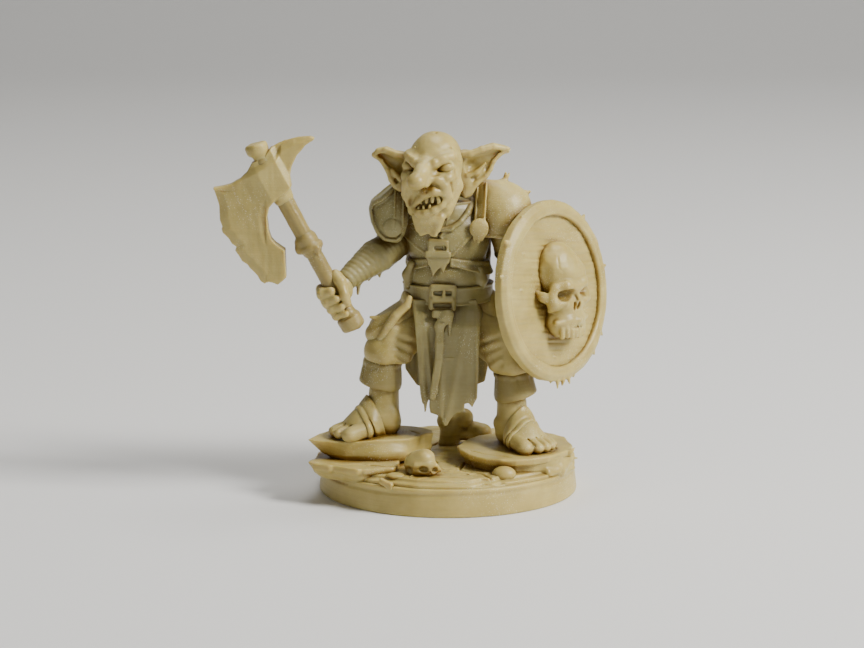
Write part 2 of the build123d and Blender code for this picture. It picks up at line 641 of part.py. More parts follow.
# ---------------------------------------------------------------- skirts and cloths
def hanging_cloth(outline, front_y, thickness, *neighbours):
    """A flat hanging cloth, cut to its ragged outline, with its thickness behind the front plane."""
    front = Plane(origin=(0, front_y, 0), x_dir=(1, 0, 0), z_dir=(0, -1, 0))
    extrude(outline_face(front, outline), amount=-thickness)
    give_way_to(*neighbours)


def tuck(low_x, high_x, low_y, high_y):
    """The gathered top of a cloth, where it goes in under the belt."""
    with Locations(((low_x + high_x) / 2, (low_y + high_y) / 2, BELT_Z - 0.95)):
        Box(high_x - low_x, high_y - low_y, 1.7)


CLOTH_Y = -6.6
LEGS = ("right_trouser_leg", "left_trouser_leg", "right_trouser_cuff", "left_trouser_cuff", "hips")
with BuildPart() as strap:
    hanging_cloth([(-2.2, 21.6), (-0.6, 21.6), (-0.8, 16.0), (-1.0, 12.4), (-2.0, 12.2), (-1.9, 17.0)], CLOTH_Y, 0.5)
finish(strap, "belt_tail")

with BuildPart() as cloth_right:
    tuck(-4.2, -0.6, -5.6, -2.5)
    hanging_cloth(
        [(-4.6, 23.3), (-0.6, 23.3), (-0.6, 12.6), (-2.1, 12.2), (-2.9, 10.6), (-3.3, 12.0), (-3.9, 15.0), (-4.2, 19.0)],
        CLOTH_Y + 0.5, 0.8, *LEGS, "belt_buckle")
finish(cloth_right, "front_cloth_right")

with BuildPart() as cloth_left:
    tuck(-0.6, 3.9, -5.6, -2.5)
    hanging_cloth(
        [(-0.6, 23.3), (4.3, 23.3), (3.9, 18.0), (3.7, 13.4), (3.4, 11.9), (2.9, 11.2), (1.9, 12.2), (1.6, 11.2),
         (0.6, 10.6), (0.1, 9.2), (-0.5, 9.2), (-1.2, 10.2), (-2.1, 10.6), (-2.1, 12.2), (-0.6, 12.6)],
        CLOTH_Y + 0.5, 0.8, *LEGS, "belt_buckle", "front_cloth_right")
finish(cloth_left, "front_cloth_left")

with BuildPart() as back_cloth:
    with Locations((0, 3.6, THIGH_TOP)):
        Box(8.0, 2.0, 2.0)
    hanging_cloth(
        [(-4.8, THIGH_TOP), (4.8, THIGH_TOP), (5.0, 16.6), (3.8, 13.6), (1.6, 12.0), (-0.4, 12.6), (-2.4, 11.8), (-4.0, 13.8), (-5.0, 16.4)],
        3.8, 0.8, *LEGS)
finish(back_cloth, "back_cloth")


def side_skirt(side, low_z, reach, *neighbours):
    """The flared tunic skirt on one hip: a thin shell round the side and back of the thigh."""
    stack([(side * 4.9, -0.6, low_z, reach, 4.9), (side * 3.4, -0.6, 20.8, 4.2, 4.6), (side * 1.4, WAIST_Y, BELT_Z, 4.1, 4.3)])
    inner = [(side * 4.9, -0.6, low_z, reach - 0.6, 4.3), (side * 3.4, -0.6, 20.8, 3.6, 4.0),
             (side * 1.4, WAIST_Y, BELT_Z, 3.5, 3.7)]
    loft([oval(Plane(origin=(x, y, z)), rx, ry) for x, y, z, rx, ry in inner], mode=Mode.SUBTRACT)
    with Locations((side * 0.2, 0, 20)):
        Box(8.4, 30, 30, mode=Mode.SUBTRACT)
    give_way_to(*neighbours)


with BuildPart() as right_skirt:
    side_skirt(-1, 19.0, 5.3, *LEGS, "back_cloth")
finish(right_skirt, "right_hip_skirt")

with BuildPart() as left_skirt:
    side_skirt(1, 17.8, 4.6, *LEGS, "back_cloth")
finish(left_skirt, "left_hip_skirt")
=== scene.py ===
"""The look of the goblin warrior: every sculpted element is modelled as signed distances on a
fine grid (a block of "clay"), skinned to a mesh, and cast in one cream, slightly translucent resin.

All sizes in the sculpting code are millimetres in the part's frame: +Z up, the figure looks along
-Y, its shield arm on +X. Meshes are written in metres.
"""

import copy
import math

import bpy
import numpy as np
from mathutils import Matrix, Vector


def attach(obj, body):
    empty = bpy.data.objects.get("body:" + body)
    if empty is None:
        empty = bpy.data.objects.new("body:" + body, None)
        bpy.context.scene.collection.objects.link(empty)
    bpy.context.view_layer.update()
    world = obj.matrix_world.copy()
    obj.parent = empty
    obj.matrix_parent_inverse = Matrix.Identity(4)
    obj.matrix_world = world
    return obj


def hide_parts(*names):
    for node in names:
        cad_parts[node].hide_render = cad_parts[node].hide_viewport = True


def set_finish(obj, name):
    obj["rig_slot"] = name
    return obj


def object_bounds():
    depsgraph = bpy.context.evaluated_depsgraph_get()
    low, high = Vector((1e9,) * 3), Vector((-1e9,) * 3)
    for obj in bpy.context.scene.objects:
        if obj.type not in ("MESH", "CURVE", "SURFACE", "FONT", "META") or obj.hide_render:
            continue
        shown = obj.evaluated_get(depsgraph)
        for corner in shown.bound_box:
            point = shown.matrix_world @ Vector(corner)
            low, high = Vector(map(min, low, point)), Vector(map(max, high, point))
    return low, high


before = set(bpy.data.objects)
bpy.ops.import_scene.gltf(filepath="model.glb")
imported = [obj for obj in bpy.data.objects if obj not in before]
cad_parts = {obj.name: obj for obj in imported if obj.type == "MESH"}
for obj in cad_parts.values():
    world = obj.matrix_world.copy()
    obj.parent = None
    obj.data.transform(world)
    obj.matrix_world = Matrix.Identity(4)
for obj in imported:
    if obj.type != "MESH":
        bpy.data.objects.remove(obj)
cad_low, cad_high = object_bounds()
FINE, MEDIUM = ((0.1, 0.14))  # grid steps, mm
MM = 0.001
FAR = 5.0  # the distance written in empty clay, mm
EVERYWHERE = (-99, -99, -99), (99, 99, 99)
rng = np.random.default_rng(32)


# ------------------------------------------------------------------------------ clay
def vec(*p):
    """A point or direction as an array."""
    return np.array(p, np.float32)


def unit(v):
    v = np.asarray(v, np.float32)
    return v / np.linalg.norm(v)


def turned(about_z=0.0, about_y=0.0, about_x=0.0):
    """Rotation matrix from angles in degrees: about X first, then Y, then Z."""
    m = Matrix.Rotation(math.radians(about_z), 3, "Z") @ Matrix.Rotation(math.radians(about_y), 3, "Y")
    return np.array(m @ Matrix.Rotation(math.radians(about_x), 3, "X"), np.float32)


class Clay:
    """Signed distances on a grid. Each tool works only on the cells near it."""

    def __init__(self, low, high, step):
        self.step = step
        self.low = vec(*low)
        count = np.ceil((vec(*high) - self.low) / step).astype(int) + 1
        self.d = np.full(count, FAR, np.float32)
        self.axis = [self.low[i] + step * np.arange(count[i], dtype=np.float32) for i in range(3)]

    def blank(self):
        """Empty clay on the same grid."""
        other = copy.copy(self)
        other.d = np.full_like(self.d, FAR)
        return other

    def near(self, low, high):
        """The slices and the coordinates of the cells inside a box."""
        cells = []
        for i in range(3):
            first = max(0, int(math.floor((low[i] - self.low[i]) / self.step)))
            last = min(self.d.shape[i], int(math.ceil((high[i] - self.low[i]) / self.step)) + 1)
            cells.append(slice(first, max(first, last)))
        x, y, z = (self.axis[i][cells[i]] for i in range(3))
        return tuple(cells), (x[:, None, None], y[None, :, None], z[None, None, :])

    def grid(self):
        """The coordinates of all the cells."""
        return self.near(*EVERYWHERE)[1]

    def apply(self, shape, mode="add", soft=0.3):
        """shape is (low corner, high corner, function of x, y, z giving distances)."""
        low, high, distance = shape
        if mode == "keep":
            cells, at = self.near(*EVERYWHERE)
        else:
            margin = soft + 3 * self.step
            cells, at = self.near(np.asarray(low) - margin, np.asarray(high) + margin)
        if min(s.stop - s.start for s in cells) <= 0:
            return self
        new, old = distance(*at), self.d[cells]
        if mode == "add":
            mixed = smooth_min(old, new, soft)
        elif mode == "cut":
            mixed = smooth_max(old, -new, soft)
        else:
            mixed = smooth_max(old, new, soft)
        self.d[cells] = mixed
        return self

    def add(self, shape, soft=0.3):
        return self.apply(shape, "add", soft)

    def cut(self, shape, soft=0.15):
        return self.apply(shape, "cut", soft)

    def keep(self, shape, soft=0.1):
        return self.apply(shape, "keep", soft)

    def line(self, points, radii, soft, flat=None, cut=False):
        """Adds or cuts the rods through several points."""
        for shape in chain(points, radii, flat):
            self.apply(shape, "cut" if cut else "add", soft)
        return self

    def roughen(self, amount, size, seed=0, stretch=(1, 1, 1)):
        """Pushes the surface in and out with smooth noise whose bumps are about size across."""
        self.d += amount * noise(self, size, seed, stretch)
        return self


def smooth_min(a, b, soft):
    """The lesser of two distances, with the edge between them rounded over soft."""
    if soft <= 0:
        return np.minimum(a, b)
    h = np.maximum(soft - np.abs(a - b), 0) / soft
    return np.minimum(a, b) - h * h * soft * 0.25


def smooth_max(a, b, soft):
    return -smooth_min(-a, -b, soft)


def noise(clay, size, seed=0, stretch=(1, 1, 1)):
    """Smooth noise in about -1..1 on the clay's grid, from a coarse random lattice."""
    counts = [max(2, int(math.ceil((a[-1] - a[0]) / (size * s))) + 4) for a, s in zip(clay.axis, stretch)]
    lattice = np.random.default_rng(seed).uniform(-1, 1, counts).astype(np.float32)
    for i, axis in enumerate(clay.axis):
        t = (axis - axis[0]) / (size * stretch[i])
        cell = np.minimum(t.astype(int), counts[i] - 4)
        f = t - cell
        weights = np.zeros((len(axis), counts[i]), np.float32)
        rows = np.arange(len(axis))
        weights[rows, cell] = (1 - f) ** 3 / 6
        weights[rows, cell + 1] = (3 * f**3 - 6 * f**2 + 4) / 6
        weights[rows, cell + 2] = (-3 * f**3 + 3 * f**2 + 3 * f + 1) / 6
        weights[rows, cell + 3] = f**3 / 6
        lattice = np.moveaxis(np.tensordot(weights, lattice, (1, i)), 0, i)
    return lattice * 2.2


# ------------------------------------------------------------------------------ tools for the clay
def ball(centre, radii, turn=None):
    """An ellipsoid; radii may be one number."""
    c = vec(*centre)
    r = vec(radii, radii, radii) if np.isscalar(radii) else vec(*radii)
    reach = r if turn is None else np.full(3, r.max())

    def distance(x, y, z):
        p = (x - c[0], y - c[1], z - c[2])
        if turn is not None:
            p = tuple(turn[0, i] * p[0] + turn[1, i] * p[1] + turn[2, i] * p[2] for i in range(3))
        k0 = np.sqrt((p[0] / r[0]) ** 2 + (p[1] / r[1]) ** 2 + (p[2] / r[2]) ** 2) + 1e-6
        k1 = np.sqrt((p[0] / r[0] ** 2) ** 2 + (p[1] / r[1] ** 2) ** 2 + (p[2] / r[2] ** 2) ** 2) + 1e-6
        return k0 * (k0 - 1) / k1

    return c - reach, c + reach, distance


def rod(start, end, r0, r1=None, flat=None):
    """A round-ended rod from r0 to r1. flat = (direction, factor) thins it in that direction."""
    a, b = vec(*start), vec(*end)
    r1 = r0 if r1 is None else r1
    ab = b - a
    length2 = float(ab @ ab) + 1e-9
    widest = max(r0, r1)

    def distance(x, y, z):
        px, py, pz = x - a[0], y - a[1], z - a[2]
        t = np.clip((px * ab[0] + py * ab[1] + pz * ab[2]) / length2, 0, 1)
        qx, qy, qz = px - t * ab[0], py - t * ab[1], pz - t * ab[2]
        if flat is not None:
            n, factor = unit(flat[0]), flat[1]
            along = qx * n[0] + qy * n[1] + qz * n[2]
            qx, qy, qz = (q + along * (factor - 1) * m for q, m in zip((qx, qy, qz), n))
            r = r0 + (r1 - r0) * t
            return (np.sqrt(qx * qx + qy * qy + qz * qz) - r) / math.sqrt(factor)
        return np.sqrt(qx * qx + qy * qy + qz * qz) - (r0 + (r1 - r0) * t)

    return np.minimum(a, b) - widest, np.maximum(a, b) + widest, distance


def chain(points, radii, flat=None):
    """Rods through several points, as a list of shapes."""
    return [rod(points[i], points[i + 1], radii[i], radii[i + 1], flat) for i in range(len(points) - 1)]


def brick(centre, half, turn=None, round_off=0.1):
    """A box with rounded edges; half is its size from the centre."""
    c, h = vec(*centre), vec(*half) - round_off
    turn = np.eye(3, dtype=np.float32) if turn is None else turn
    reach = np.abs(turn) @ vec(*half)

    def distance(x, y, z):
        p = (x - c[0], y - c[1], z - c[2])
        q = [np.abs(turn[0, i] * p[0] + turn[1, i] * p[1] + turn[2, i] * p[2]) - h[i] for i in range(3)]
        outside = np.sqrt(sum(np.maximum(k, 0) ** 2 for k in q))
        return outside + np.minimum(np.maximum(q[0], np.maximum(q[1], q[2])), 0) - round_off

    return c - reach, c + reach, distance


def ring(centre, normal, radius, tube, squash=1.0):
    """A torus; squash thins or widens the tube along the normal."""
    c, n = vec(*centre), unit(normal)
    reach = np.full(3, radius + tube * max(1, squash))

    def distance(x, y, z):
        px, py, pz = x - c[0], y - c[1], z - c[2]
        h = px * n[0] + py * n[1] + pz * n[2]
        flat = np.sqrt(np.maximum(px * px + py * py + pz * pz - h * h, 0)) - radius
        return np.sqrt(flat * flat + (h / squash) ** 2) - tube

    return c - reach, c + reach, distance


def rounded(a, b, round_off):
    """The distance to what lies inside both a and b, with the corner between them rounded."""
    return np.minimum(np.maximum(a, b), 0) + np.sqrt(np.maximum(a, 0) ** 2 + np.maximum(b,
                                                                                        0) ** 2) - round_off


def disc(centre, normal, radius, half, round_off=0.1):
    """A flat round plate, half is half its thickness."""
    c, n = vec(*centre), unit(normal)
    reach = np.full(3, math.hypot(radius, half))

    def distance(x, y, z):
        px, py, pz = x - c[0], y - c[1], z - c[2]
        h = px * n[0] + py * n[1] + pz * n[2]
        a = np.sqrt(np.maximum(px * px + py * py + pz * pz - h * h, 0)) - radius + round_off
        return rounded(a, np.abs(h) - half + round_off, round_off)

    return c - reach, c + reach, distance


def half_space(point, outward):
    """Everything behind the plane through point whose normal is outward."""
    c, n = vec(*point), unit(outward)

    def distance(x, y, z):
        return (x - c[0]) * n[0] + (y - c[1]) * n[1] + (z - c[2]) * n[2]

    return *EVERYWHERE, distance


def outline_distance(points, u, v):
    """Signed distance in the plane to a closed straight-edged outline."""
    points = [np.asarray(p, np.float32) for p in points]
    best = np.full(np.broadcast(u, v).shape, 1e9, np.float32)
    inside = np.zeros(best.shape, bool)
    for p, q in zip(points, points[1:] + points[:1]):
        e = q - p
        wu, wv = u - p[0], v - p[1]
        t = np.clip((wu * e[0] + wv * e[1]) / float(e @ e + 1e-12), 0, 1)
        best = np.minimum(best, (wu - t * e[0]) ** 2 + (wv - t * e[1]) ** 2)
        if e[1] != 0:
            inside ^= ((v >= p[1]) != (v >= q[1])) & (u < p[0] + (v - p[1]) * e[0] / e[1])
    return np.where(inside, -1, 1) * np.sqrt(best)


def sheet(points, middle, thickness, round_off=0.12):
    """A cut-out sheet with its outline in (x, z). middle, the y of its mid-surface, and thickness
    are numbers or functions of x and z.
    """
    pts = np.array(points, np.float32)
    low2, high2 = pts.min(0), pts.max(0)
    deep = middle if callable(middle) else (lambda u, v: middle + 0 * u)
    thick = thickness if callable(thickness) else (lambda u, v: thickness + 0 * u)
    corners = [float(deep(np.float32(u), np.float32(v))) for u in np.linspace(low2[0], high2[0], 9)
               for v in np.linspace(low2[1], high2[1], 9)]
    near, far = min(corners) - 2.0, max(corners) + 2.0

    def distance(x, y, z):
        edge = outline_distance(points, x, z) + round_off
        front = np.abs(y - deep(x, z)) - thick(x, z) / 2 + round_off
        return rounded(edge, front, round_off)

    return (low2[0], near, low2[1]), (high2[0], far, high2[1]), distance


def smooth_step(a, b, t):
    """0 at a and 1 at b, level at both ends."""
    t = np.clip((t - a) / (b - a), 0, 1)
    return t * t * (3 - 2 * t)


# ------------------------------------------------------------------------------ skinning
def skin(clay):
    """Surface nets: one vertex in each cell the surface crosses, one quad round each crossed edge."""
    d = clay.d.copy()
    for i in range(3):  # close the surface at the edge of the block
        for end in (0, -1):
            side = tuple(end if axis == i else slice(None) for axis in range(3))
            d[side] = np.maximum(d[side], clay.step)
    solid = d < 0
    n = np.array(d.shape) - 1
    corners = [(i, j, k) for i in (0, 1) for j in (0, 1) for k in (0, 1)]

    def part(a, c):
        return a[c[0]:c[0] + n[0], c[1]:c[1] + n[1], c[2]:c[2] + n[2]]

    count = sum(part(solid, c).astype(np.int8) for c in corners)
    active = np.argwhere((count > 0) & (count < 8))
    index = np.full(tuple(n), -1, np.int64)
    index[tuple(active.T)] = np.arange(len(active))
    value = {c: d[tuple((active + c).T)] for c in corners}
    total, hits = np.zeros((len(active), 3), np.float64), np.zeros(len(active))
    for c in corners:
        for i in range(3):
            if c[i]:
                continue
            e = list(c)
            e[i] = 1
            a, b = value[c], value[tuple(e)]
            crossed = (a < 0) != (b < 0)
            spot = np.tile(np.array(c, float), (len(active), 1))
            spot[:, i] = np.where(crossed, a / np.where(crossed, a - b, 1), 0)
            total += spot * crossed[:, None]
            hits += crossed
    points = (active + total / hits[:, None]) * clay.step + clay.low
    quads = []
    for i in range(3):
        j, k = (i + 1) % 3, (i + 2) % 3
        here, there = [slice(None)] * 3, [slice(None)] * 3
        here[i], there[i] = slice(0, -1), slice(1, None)
        for s in (here, there):
            s[j], s[k] = slice(1, -1), slice(1, -1)
        a, b = solid[tuple(here)], solid[tuple(there)]
        edges = np.argwhere(a != b)
        edges[:, j] += 1
        edges[:, k] += 1
        outward = a[tuple((edges - np.eye(3, dtype=int)[j] - np.eye(3, dtype=int)[k]).T)]
        ring_cells = []
        for back in ((0, 0), (1, 0), (1, 1), (0, 1)):
            cell = edges.copy()
            cell[:, j] -= back[0]
            cell[:, k] -= back[1]
            ring_cells.append(index[tuple(cell.T)])
        quad = np.stack(ring_cells, 1)
        quad[~outward] = quad[~outward][:, ::-1]
        quads.append(quad)
    return points.astype(np.float32), np.concatenate(quads)


pieces = {}


def cast(clay, name, slot, *nodes):
    """Skins the clay, makes it the piece that stands for the nodes, and puts it on the root body."""
    points, quads = skin(clay)
    mesh = bpy.data.meshes.new(name)
    mesh.vertices.add(len(points))
    mesh.vertices.foreach_set("co", (points * MM).ravel())
    mesh.loops.add(quads.size)
    mesh.loops.foreach_set("vertex_index", quads.ravel().astype(np.int32))
    mesh.polygons.add(len(quads))
    mesh.polygons.foreach_set("loop_start", np.arange(0, quads.size, 4, dtype=np.int32))
    mesh.polygons.foreach_set("loop_total", np.full(len(quads), 4, dtype=np.int32))
    mesh.update(calc_edges=True)
    mesh.polygons.foreach_set("use_smooth", np.ones(len(quads), bool))
    obj = bpy.data.objects.new(name, mesh)
    bpy.context.scene.collection.objects.link(obj)
    pieces[name] = (obj, clay)
    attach(obj, "root")
    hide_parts(*(nodes or (name,)))
    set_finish(obj, slot)


# ------------------------------------------------------------------------------ scenic base
BASE_R, BASE_LIP_R, BASE_H = 16.0, 15.65, 3.4
FLOOR_TOP, LEDGE_TOP, RIGHT_ROCK_TOP, LEFT_ROCK_TOP = 4.3, 5.0, 7.5, 6.1


def sculpt_base_disc():
    """The plain bevelled base with a small lip."""
    reach = BASE_R + 0.3
    clay = Clay((-reach, -reach, -0.3), (reach, reach, BASE_H + 0.4), MEDIUM)
    x, y, z = clay.grid()
    radius = np.sqrt(x * x + y * y)
    wall = radius - (BASE_R - (BASE_R - BASE_LIP_R) * z / BASE_H)
    lip = 0.12 * np.exp(-((z - BASE_H + 0.25) / 0.22) ** 2) - 0.1 * np.exp(-((z - BASE_H + 0.75) / 0.2) ** 2)
    clay.d = np.maximum(wall - lip, np.maximum(z - BASE_H, -z)).astype(np.float32)
    clay.roughen(0.02, 1.6, 3)
    clay.keep(half_space((0, 0, 0), (0, 0, -1)), 0.0)
    cast(clay, "base_disc", "resin_base")


def rock_slab(clay, top, bottom, low_z, high_z, layers=0, fall=1.0):
    """A broken slab whose outline grows from bottom to top, with its strata showing on the side.

    fall above 1 keeps the side near the top outline and tucks it in low down.
    """
    top, bottom = np.array(top, np.float32), np.array(bottom, np.float32)

    def distance(x, y, z):
        share = np.clip((z - low_z) / (high_z - low_z), 0, 1) ** (1 / fall)
        upper, lower = outline_distance(top, x, y), outline_distance(bottom, x, y)
        side = lower * (1 - share) + upper * share
        if layers:
            side = side + 0.12 * np.abs(np.sin(share * math.pi * layers)) ** 0.5 - 0.07
        return smooth_max(side, np.maximum(z - high_z, low_z - z), 0.2)

    low = np.minimum(top.min(0), bottom.min(0))
    high = np.maximum(top.max(0), bottom.max(0))
    clay.add(((low[0], low[1], low_z), (high[0], high[1], high_z), distance), 0.1)


def cracks(clay, lines, top_z, width=0.13, depth=0.28):
    """Wandering cracks cut into a level top."""
    for line in lines:
        for a, b in zip(line, line[1:]):
            clay.cut(rod((*a, top_z), (*b, top_z), width, width, flat=((0, 0, 1), width / depth)), 0.12)


RIGHT_ROCK = [(-17.25, -6.5), (-16.4, -7.2), (-14.0, -7.8), (-12.3, -7.8), (-10.0, -7.5), (-7.7, -7.0),
              (-6.0, -6.6), (-4.7, -6.0), (-3.6, -4.8), (-2.8, -3.6), (-1.8, -3.2), (-1.9, -1.4), (-4.0, 0.4),
              (-7.0, 1.4), (-13.2, 0.4), (-16.0, -3.4)]
LEFT_ROCK = [(1.0, -4.0), (1.4, -6.2), (2.4, -8.6), (4.4, -10.8), (6.4, -11.5), (8.2, -11.5), (10.4, -10.8),
             (12.2, -9.6), (13.7, -7.8), (14.7, -6.4), (15.4, -6.2), (15.1, -5.0), (15.4, -4.2), (14.6, 1.0),
             (12.0, 3.4), (8.8, 3.6), (3.6, 1.6)]
LEDGE = [(-17.0, -8.2), (-16.4, -9.2), (-14.6, -10.2), (-13.6, -10.4), (-11.2, -11.9), (-9.6, -11.7),
         (-6.4, -11.0), (-5.0, 2.0), (-9.0, 9.5), (-13.6, 7.4), (-15.4, 0.0)]


def scaled(points, factor, about):
    """The outline made larger or smaller about a point."""
    return vec(*about) + (np.array(points, np.float32) - vec(*about)) * factor


def sculpt_right_rock():
    """The rock under the right foot."""
    clay = Clay((-17.8, -9.4, LEDGE_TOP - 0.4), (-0.8, 2.2, RIGHT_ROCK_TOP + 0.6), MEDIUM)
    foot_line = [(-13.8, -5.4), (-13.2, -6.4), (-12.4, -7.0), (-10.6, -7.2), (-8.6, -7.2), (-7.0, -6.9),
                 (-5.2, -6.4), (-4.0, -5.4), (-3.2, -4.2), (-2.6, -3.2), (-2.2, -2.4), (-2.4, -1.4),
                 (-4.4, 0.0), (-7.0, 0.8), (-12.0, -0.2), (-13.4, -3.0)]
    rock_slab(clay, RIGHT_ROCK, foot_line, LEDGE_TOP - 0.3, RIGHT_ROCK_TOP, 2, 1.7)
    clay.add(ball((-8.6, -6.2, 5.7), (3.6, 1.6, 1.4)), 0.6)
    clay.roughen(0.09, 1.5, 11).roughen(0.04, 0.5, 12, (3, 3, 1))
    clay.keep(half_space((0, 0, RIGHT_ROCK_TOP + 0.06), (0, 0, 1)), 0.12)
    cracks(clay, [[(-14.5, -6.4), (-12.2, -5.8), (-10.8, -6.6)], [(-4.6, -2.2), (-3.6, -3.4), (-4.0, -4.8)]],
           RIGHT_ROCK_TOP, 0.1, 0.2)
    cast(clay, "right_foot_rock", "resin_rock")


def sculpt_ledge():
    """The broken ledge under the right rock, down to the base."""
    clay = Clay((-17.6, -12.6, BASE_H - 0.5), (-4.0, 10.2, LEDGE_TOP + 0.5), MEDIUM)
    rock_slab(clay, LEDGE, scaled(LEDGE, (0.87, 0.95), (-6.0, 0.0)), BASE_H - 0.3, LEDGE_TOP, 2, 1.6)
    for a, b, r in (((-16.0, -9.0), (-14.4, -9.9), 0.5), ((-13.4, -10.3), (-11.0, -11.6), 0.45),
                    ((-10.0, -11.5), (-7.0, -10.9), 0.4)):
        clay.add(rod((*a, LEDGE_TOP - 0.42), (*b, LEDGE_TOP - 0.45), r), 0.4)
    clay.roughen(0.08, 1.4, 13).roughen(0.06, 0.45, 14, (2, 2, 1))
    cracks(clay, [[(-15.6, -8.8), (-12.4, -9.3), (-10.2, -9.2)], [(-9.5, -9.6), (-7.6, -10.4), (-6.2, -10.2)],
                  [(-8, 4), (-10.5, 5.2), (-12.5, 4.0)]], LEDGE_TOP, 0.16, 0.3)
    cast(clay, "left_ledge", "resin_rock")


def sculpt_rock_step():
    """The rough step that carries the left rock."""
    clay = Clay((0.9, -11.4, BASE_H - 0.4), (16.4, 4.2, LEFT_ROCK_TOP), MEDIUM)
    step_top = [(1.5, -5.6), (2.7, -8.5), (4.9, -10.6), (8.3, -11.0), (10.6, -10.3), (12.4, -9.1),
                (13.8, -7.4), (15.1, -4.6), (13.4, 2.8), (4.0, 2.0)]
    step_foot = [(2.4, -5.4), (3.6, -7.9), (5.6, -9.8), (8.4, -10.2), (10.6, -9.8), (12.6, -8.9),
                 (14.4, -7.0), (15.7, -3.6), (13.6, 3.0), (4.6, 2.0)]
    rock_slab(clay, step_top, step_foot, BASE_H - 0.3, LEFT_ROCK_TOP - 0.5, 2)
    clay.add(rod((13.6, -7.2, 3.9), (14.9, -4.6, 5.0), 0.9, 0.7), 0.5)
    clay.add(rod((14.6, -5.2, 4.6), (15.9, -4.9, 4.75), 0.35, 0.12), 0.2)
    clay.add(rod((12.0, -9.2, 3.9), (13.2, -8.2, 4.0), 0.55, 0.5), 0.4)
    clay.roughen(0.12, 1.1, 15).roughen(0.05, 0.45, 16)
    cast(clay, "left_rock_step", "resin_rock")


def sculpt_left_rock():
    """The flat rock under the left foot."""
    clay = Clay((0.5, -12.2, LEFT_ROCK_TOP - 1.5), (16.2, 4.2, LEFT_ROCK_TOP + 0.4), MEDIUM)
    rock_slab(clay, LEFT_ROCK, scaled(LEFT_ROCK, (0.95, 0.95), (9, -4)), LEFT_ROCK_TOP - 0.95, LEFT_ROCK_TOP,
              0, 1.4)
    clay.add(rod((14.9, -6.2, 5.8), (15.5, -6.0, 6.35), 0.3, 0.12), 0.2)
    clay.roughen(0.07, 1.5, 17).roughen(0.05, 0.45, 18, (2, 2, 1))
    clay.keep(half_space((0, 0, LEFT_ROCK_TOP + 0.25), (0, 0, 1)), 0.12)
    cracks(clay, [[(2.6, -7.0), (5.0, -8.6), (7.6, -10.4)], [(12.4, -7.6), (13.2, -5.4), (12.6, -3.6)]],
           LEFT_ROCK_TOP, 0.1, 0.2)
    cast(clay, "left_foot_rock", "resin_rock")


def sculpt_floor():
    """The cracked flagstones, with a low step round the edge and two notches at the front."""
    clay = Clay((-15.6, -15.8, BASE_H - 0.3), (15.6, 15.6, FLOOR_TOP + 0.5), MEDIUM)
    x, y, z = clay.grid()
    angle = np.arctan2(y, x)
    edge = 15.35 + 0.1 * np.sin(7 * angle) + 0.06 * np.sin(17 * angle + 1)
    notch = 0.6 * np.exp(-((x - 4.0) / 0.8) ** 2) * (y < 0) + 0.45 * np.exp(-((x - 6.2) / 0.5) ** 2) * (y < 0)
    lower_step = 0.75 * smooth_step(FLOOR_TOP - 0.42, FLOOR_TOP - 0.34, z)
    side = np.sqrt(x * x + y * y) - (edge - notch * (z > BASE_H + 0.25) - lower_step)
    clay.d = smooth_max(side, np.maximum(z - FLOOR_TOP, BASE_H - 0.2 - z), 0.12).astype(np.float32)
    cracks(clay, [[(-10, -11.0), (-6.2, -9.6), (-4.4, -9.8), (-1.6, -8.8), (1.4, -9.3)],
                  [(-1.6, -8.8), (-1.4, -5.4), (-3.0, -2.0), (-2.6, 2.6)],
                  [(1.4, -9.3), (4.0, -11.2), (5.4, -14.2)], [(1.4, -9.3), (2.0, -6.0), (3.0, -4.0)],
                  [(-3.4, -13.8), (-2.4, -12.6), (0.6, -12.9), (3.0, -13.2)],
                  [(-2.6, 2.6), (-6.5, 5.0), (-7.6, 9.5)], [(-2.6, 2.6), (0.4, 7.6), (-0.6, 14.8)],
                  [(0.4, 7.6), (5.4, 7.0), (8.6, 9.8)], [(5.4, 7.0), (7.0, 4.0)], [(8.6, 9.8), (8.8, 12.4)]],
           FLOOR_TOP, 0.14, 0.3)
    cracks(clay, [[(0.2, -10.4), (3.6, -9.8)], [(-0.6, -10.9), (2.8, -10.6)], [(0.8, -11.7), (4.4, -11.1)],
                  [(-0.4, -9.9), (1.6, -9.6)]], FLOOR_TOP, 0.1, 0.16)
    clay.roughen(0.07, 1.6, 19, (1, 1, 3)).roughen(0.05, 0.5, 20, (1, 1, 3))
    cast(clay, "flagstone_floor", "resin_rock")


def sculpt_rubble():
    """The stones that lie on the floor, and the grit between them."""
    clay = Clay((-10.0, -15.4, FLOOR_TOP - 1.5), (11.0, -8.2, FLOOR_TOP + 2.0), MEDIUM)
    clay.add(ball((6.7, -11.6, FLOOR_TOP), (1.45, 1.3, 1.05)), 0.2)
    clay.add(ball((-6.4, -12.2, FLOOR_TOP), (1.2, 0.9, 0.42)), 0.3)
    clay.add(brick((-7.5, -13.7, FLOOR_TOP - 0.6), (0.95, 0.3, 0.38), turned(-24, 22), 0.14), 0.1)
    clay.add(brick((-7.0, -13.9, FLOOR_TOP - 0.9), (0.35, 0.3, 0.5), turned(-30, -18), 0.14), 0.2)
    for _ in range(26):
        x, y = rng.uniform(-7.4, 10.4), rng.uniform(-13.2, -8.6)
        if math.hypot(x, y) < 14.2 and not (x < -4.6 and y > -12):
            turn = turned(rng.uniform(0, 180), 20)
            clay.add(brick((x, y, FLOOR_TOP - 0.02), (0.2, 0.15, 0.1), turn, 0.06), 0.12)
    clay.roughen(0.05, 0.7, 21)
    cast(clay, "rubble_stones", "resin_rock")


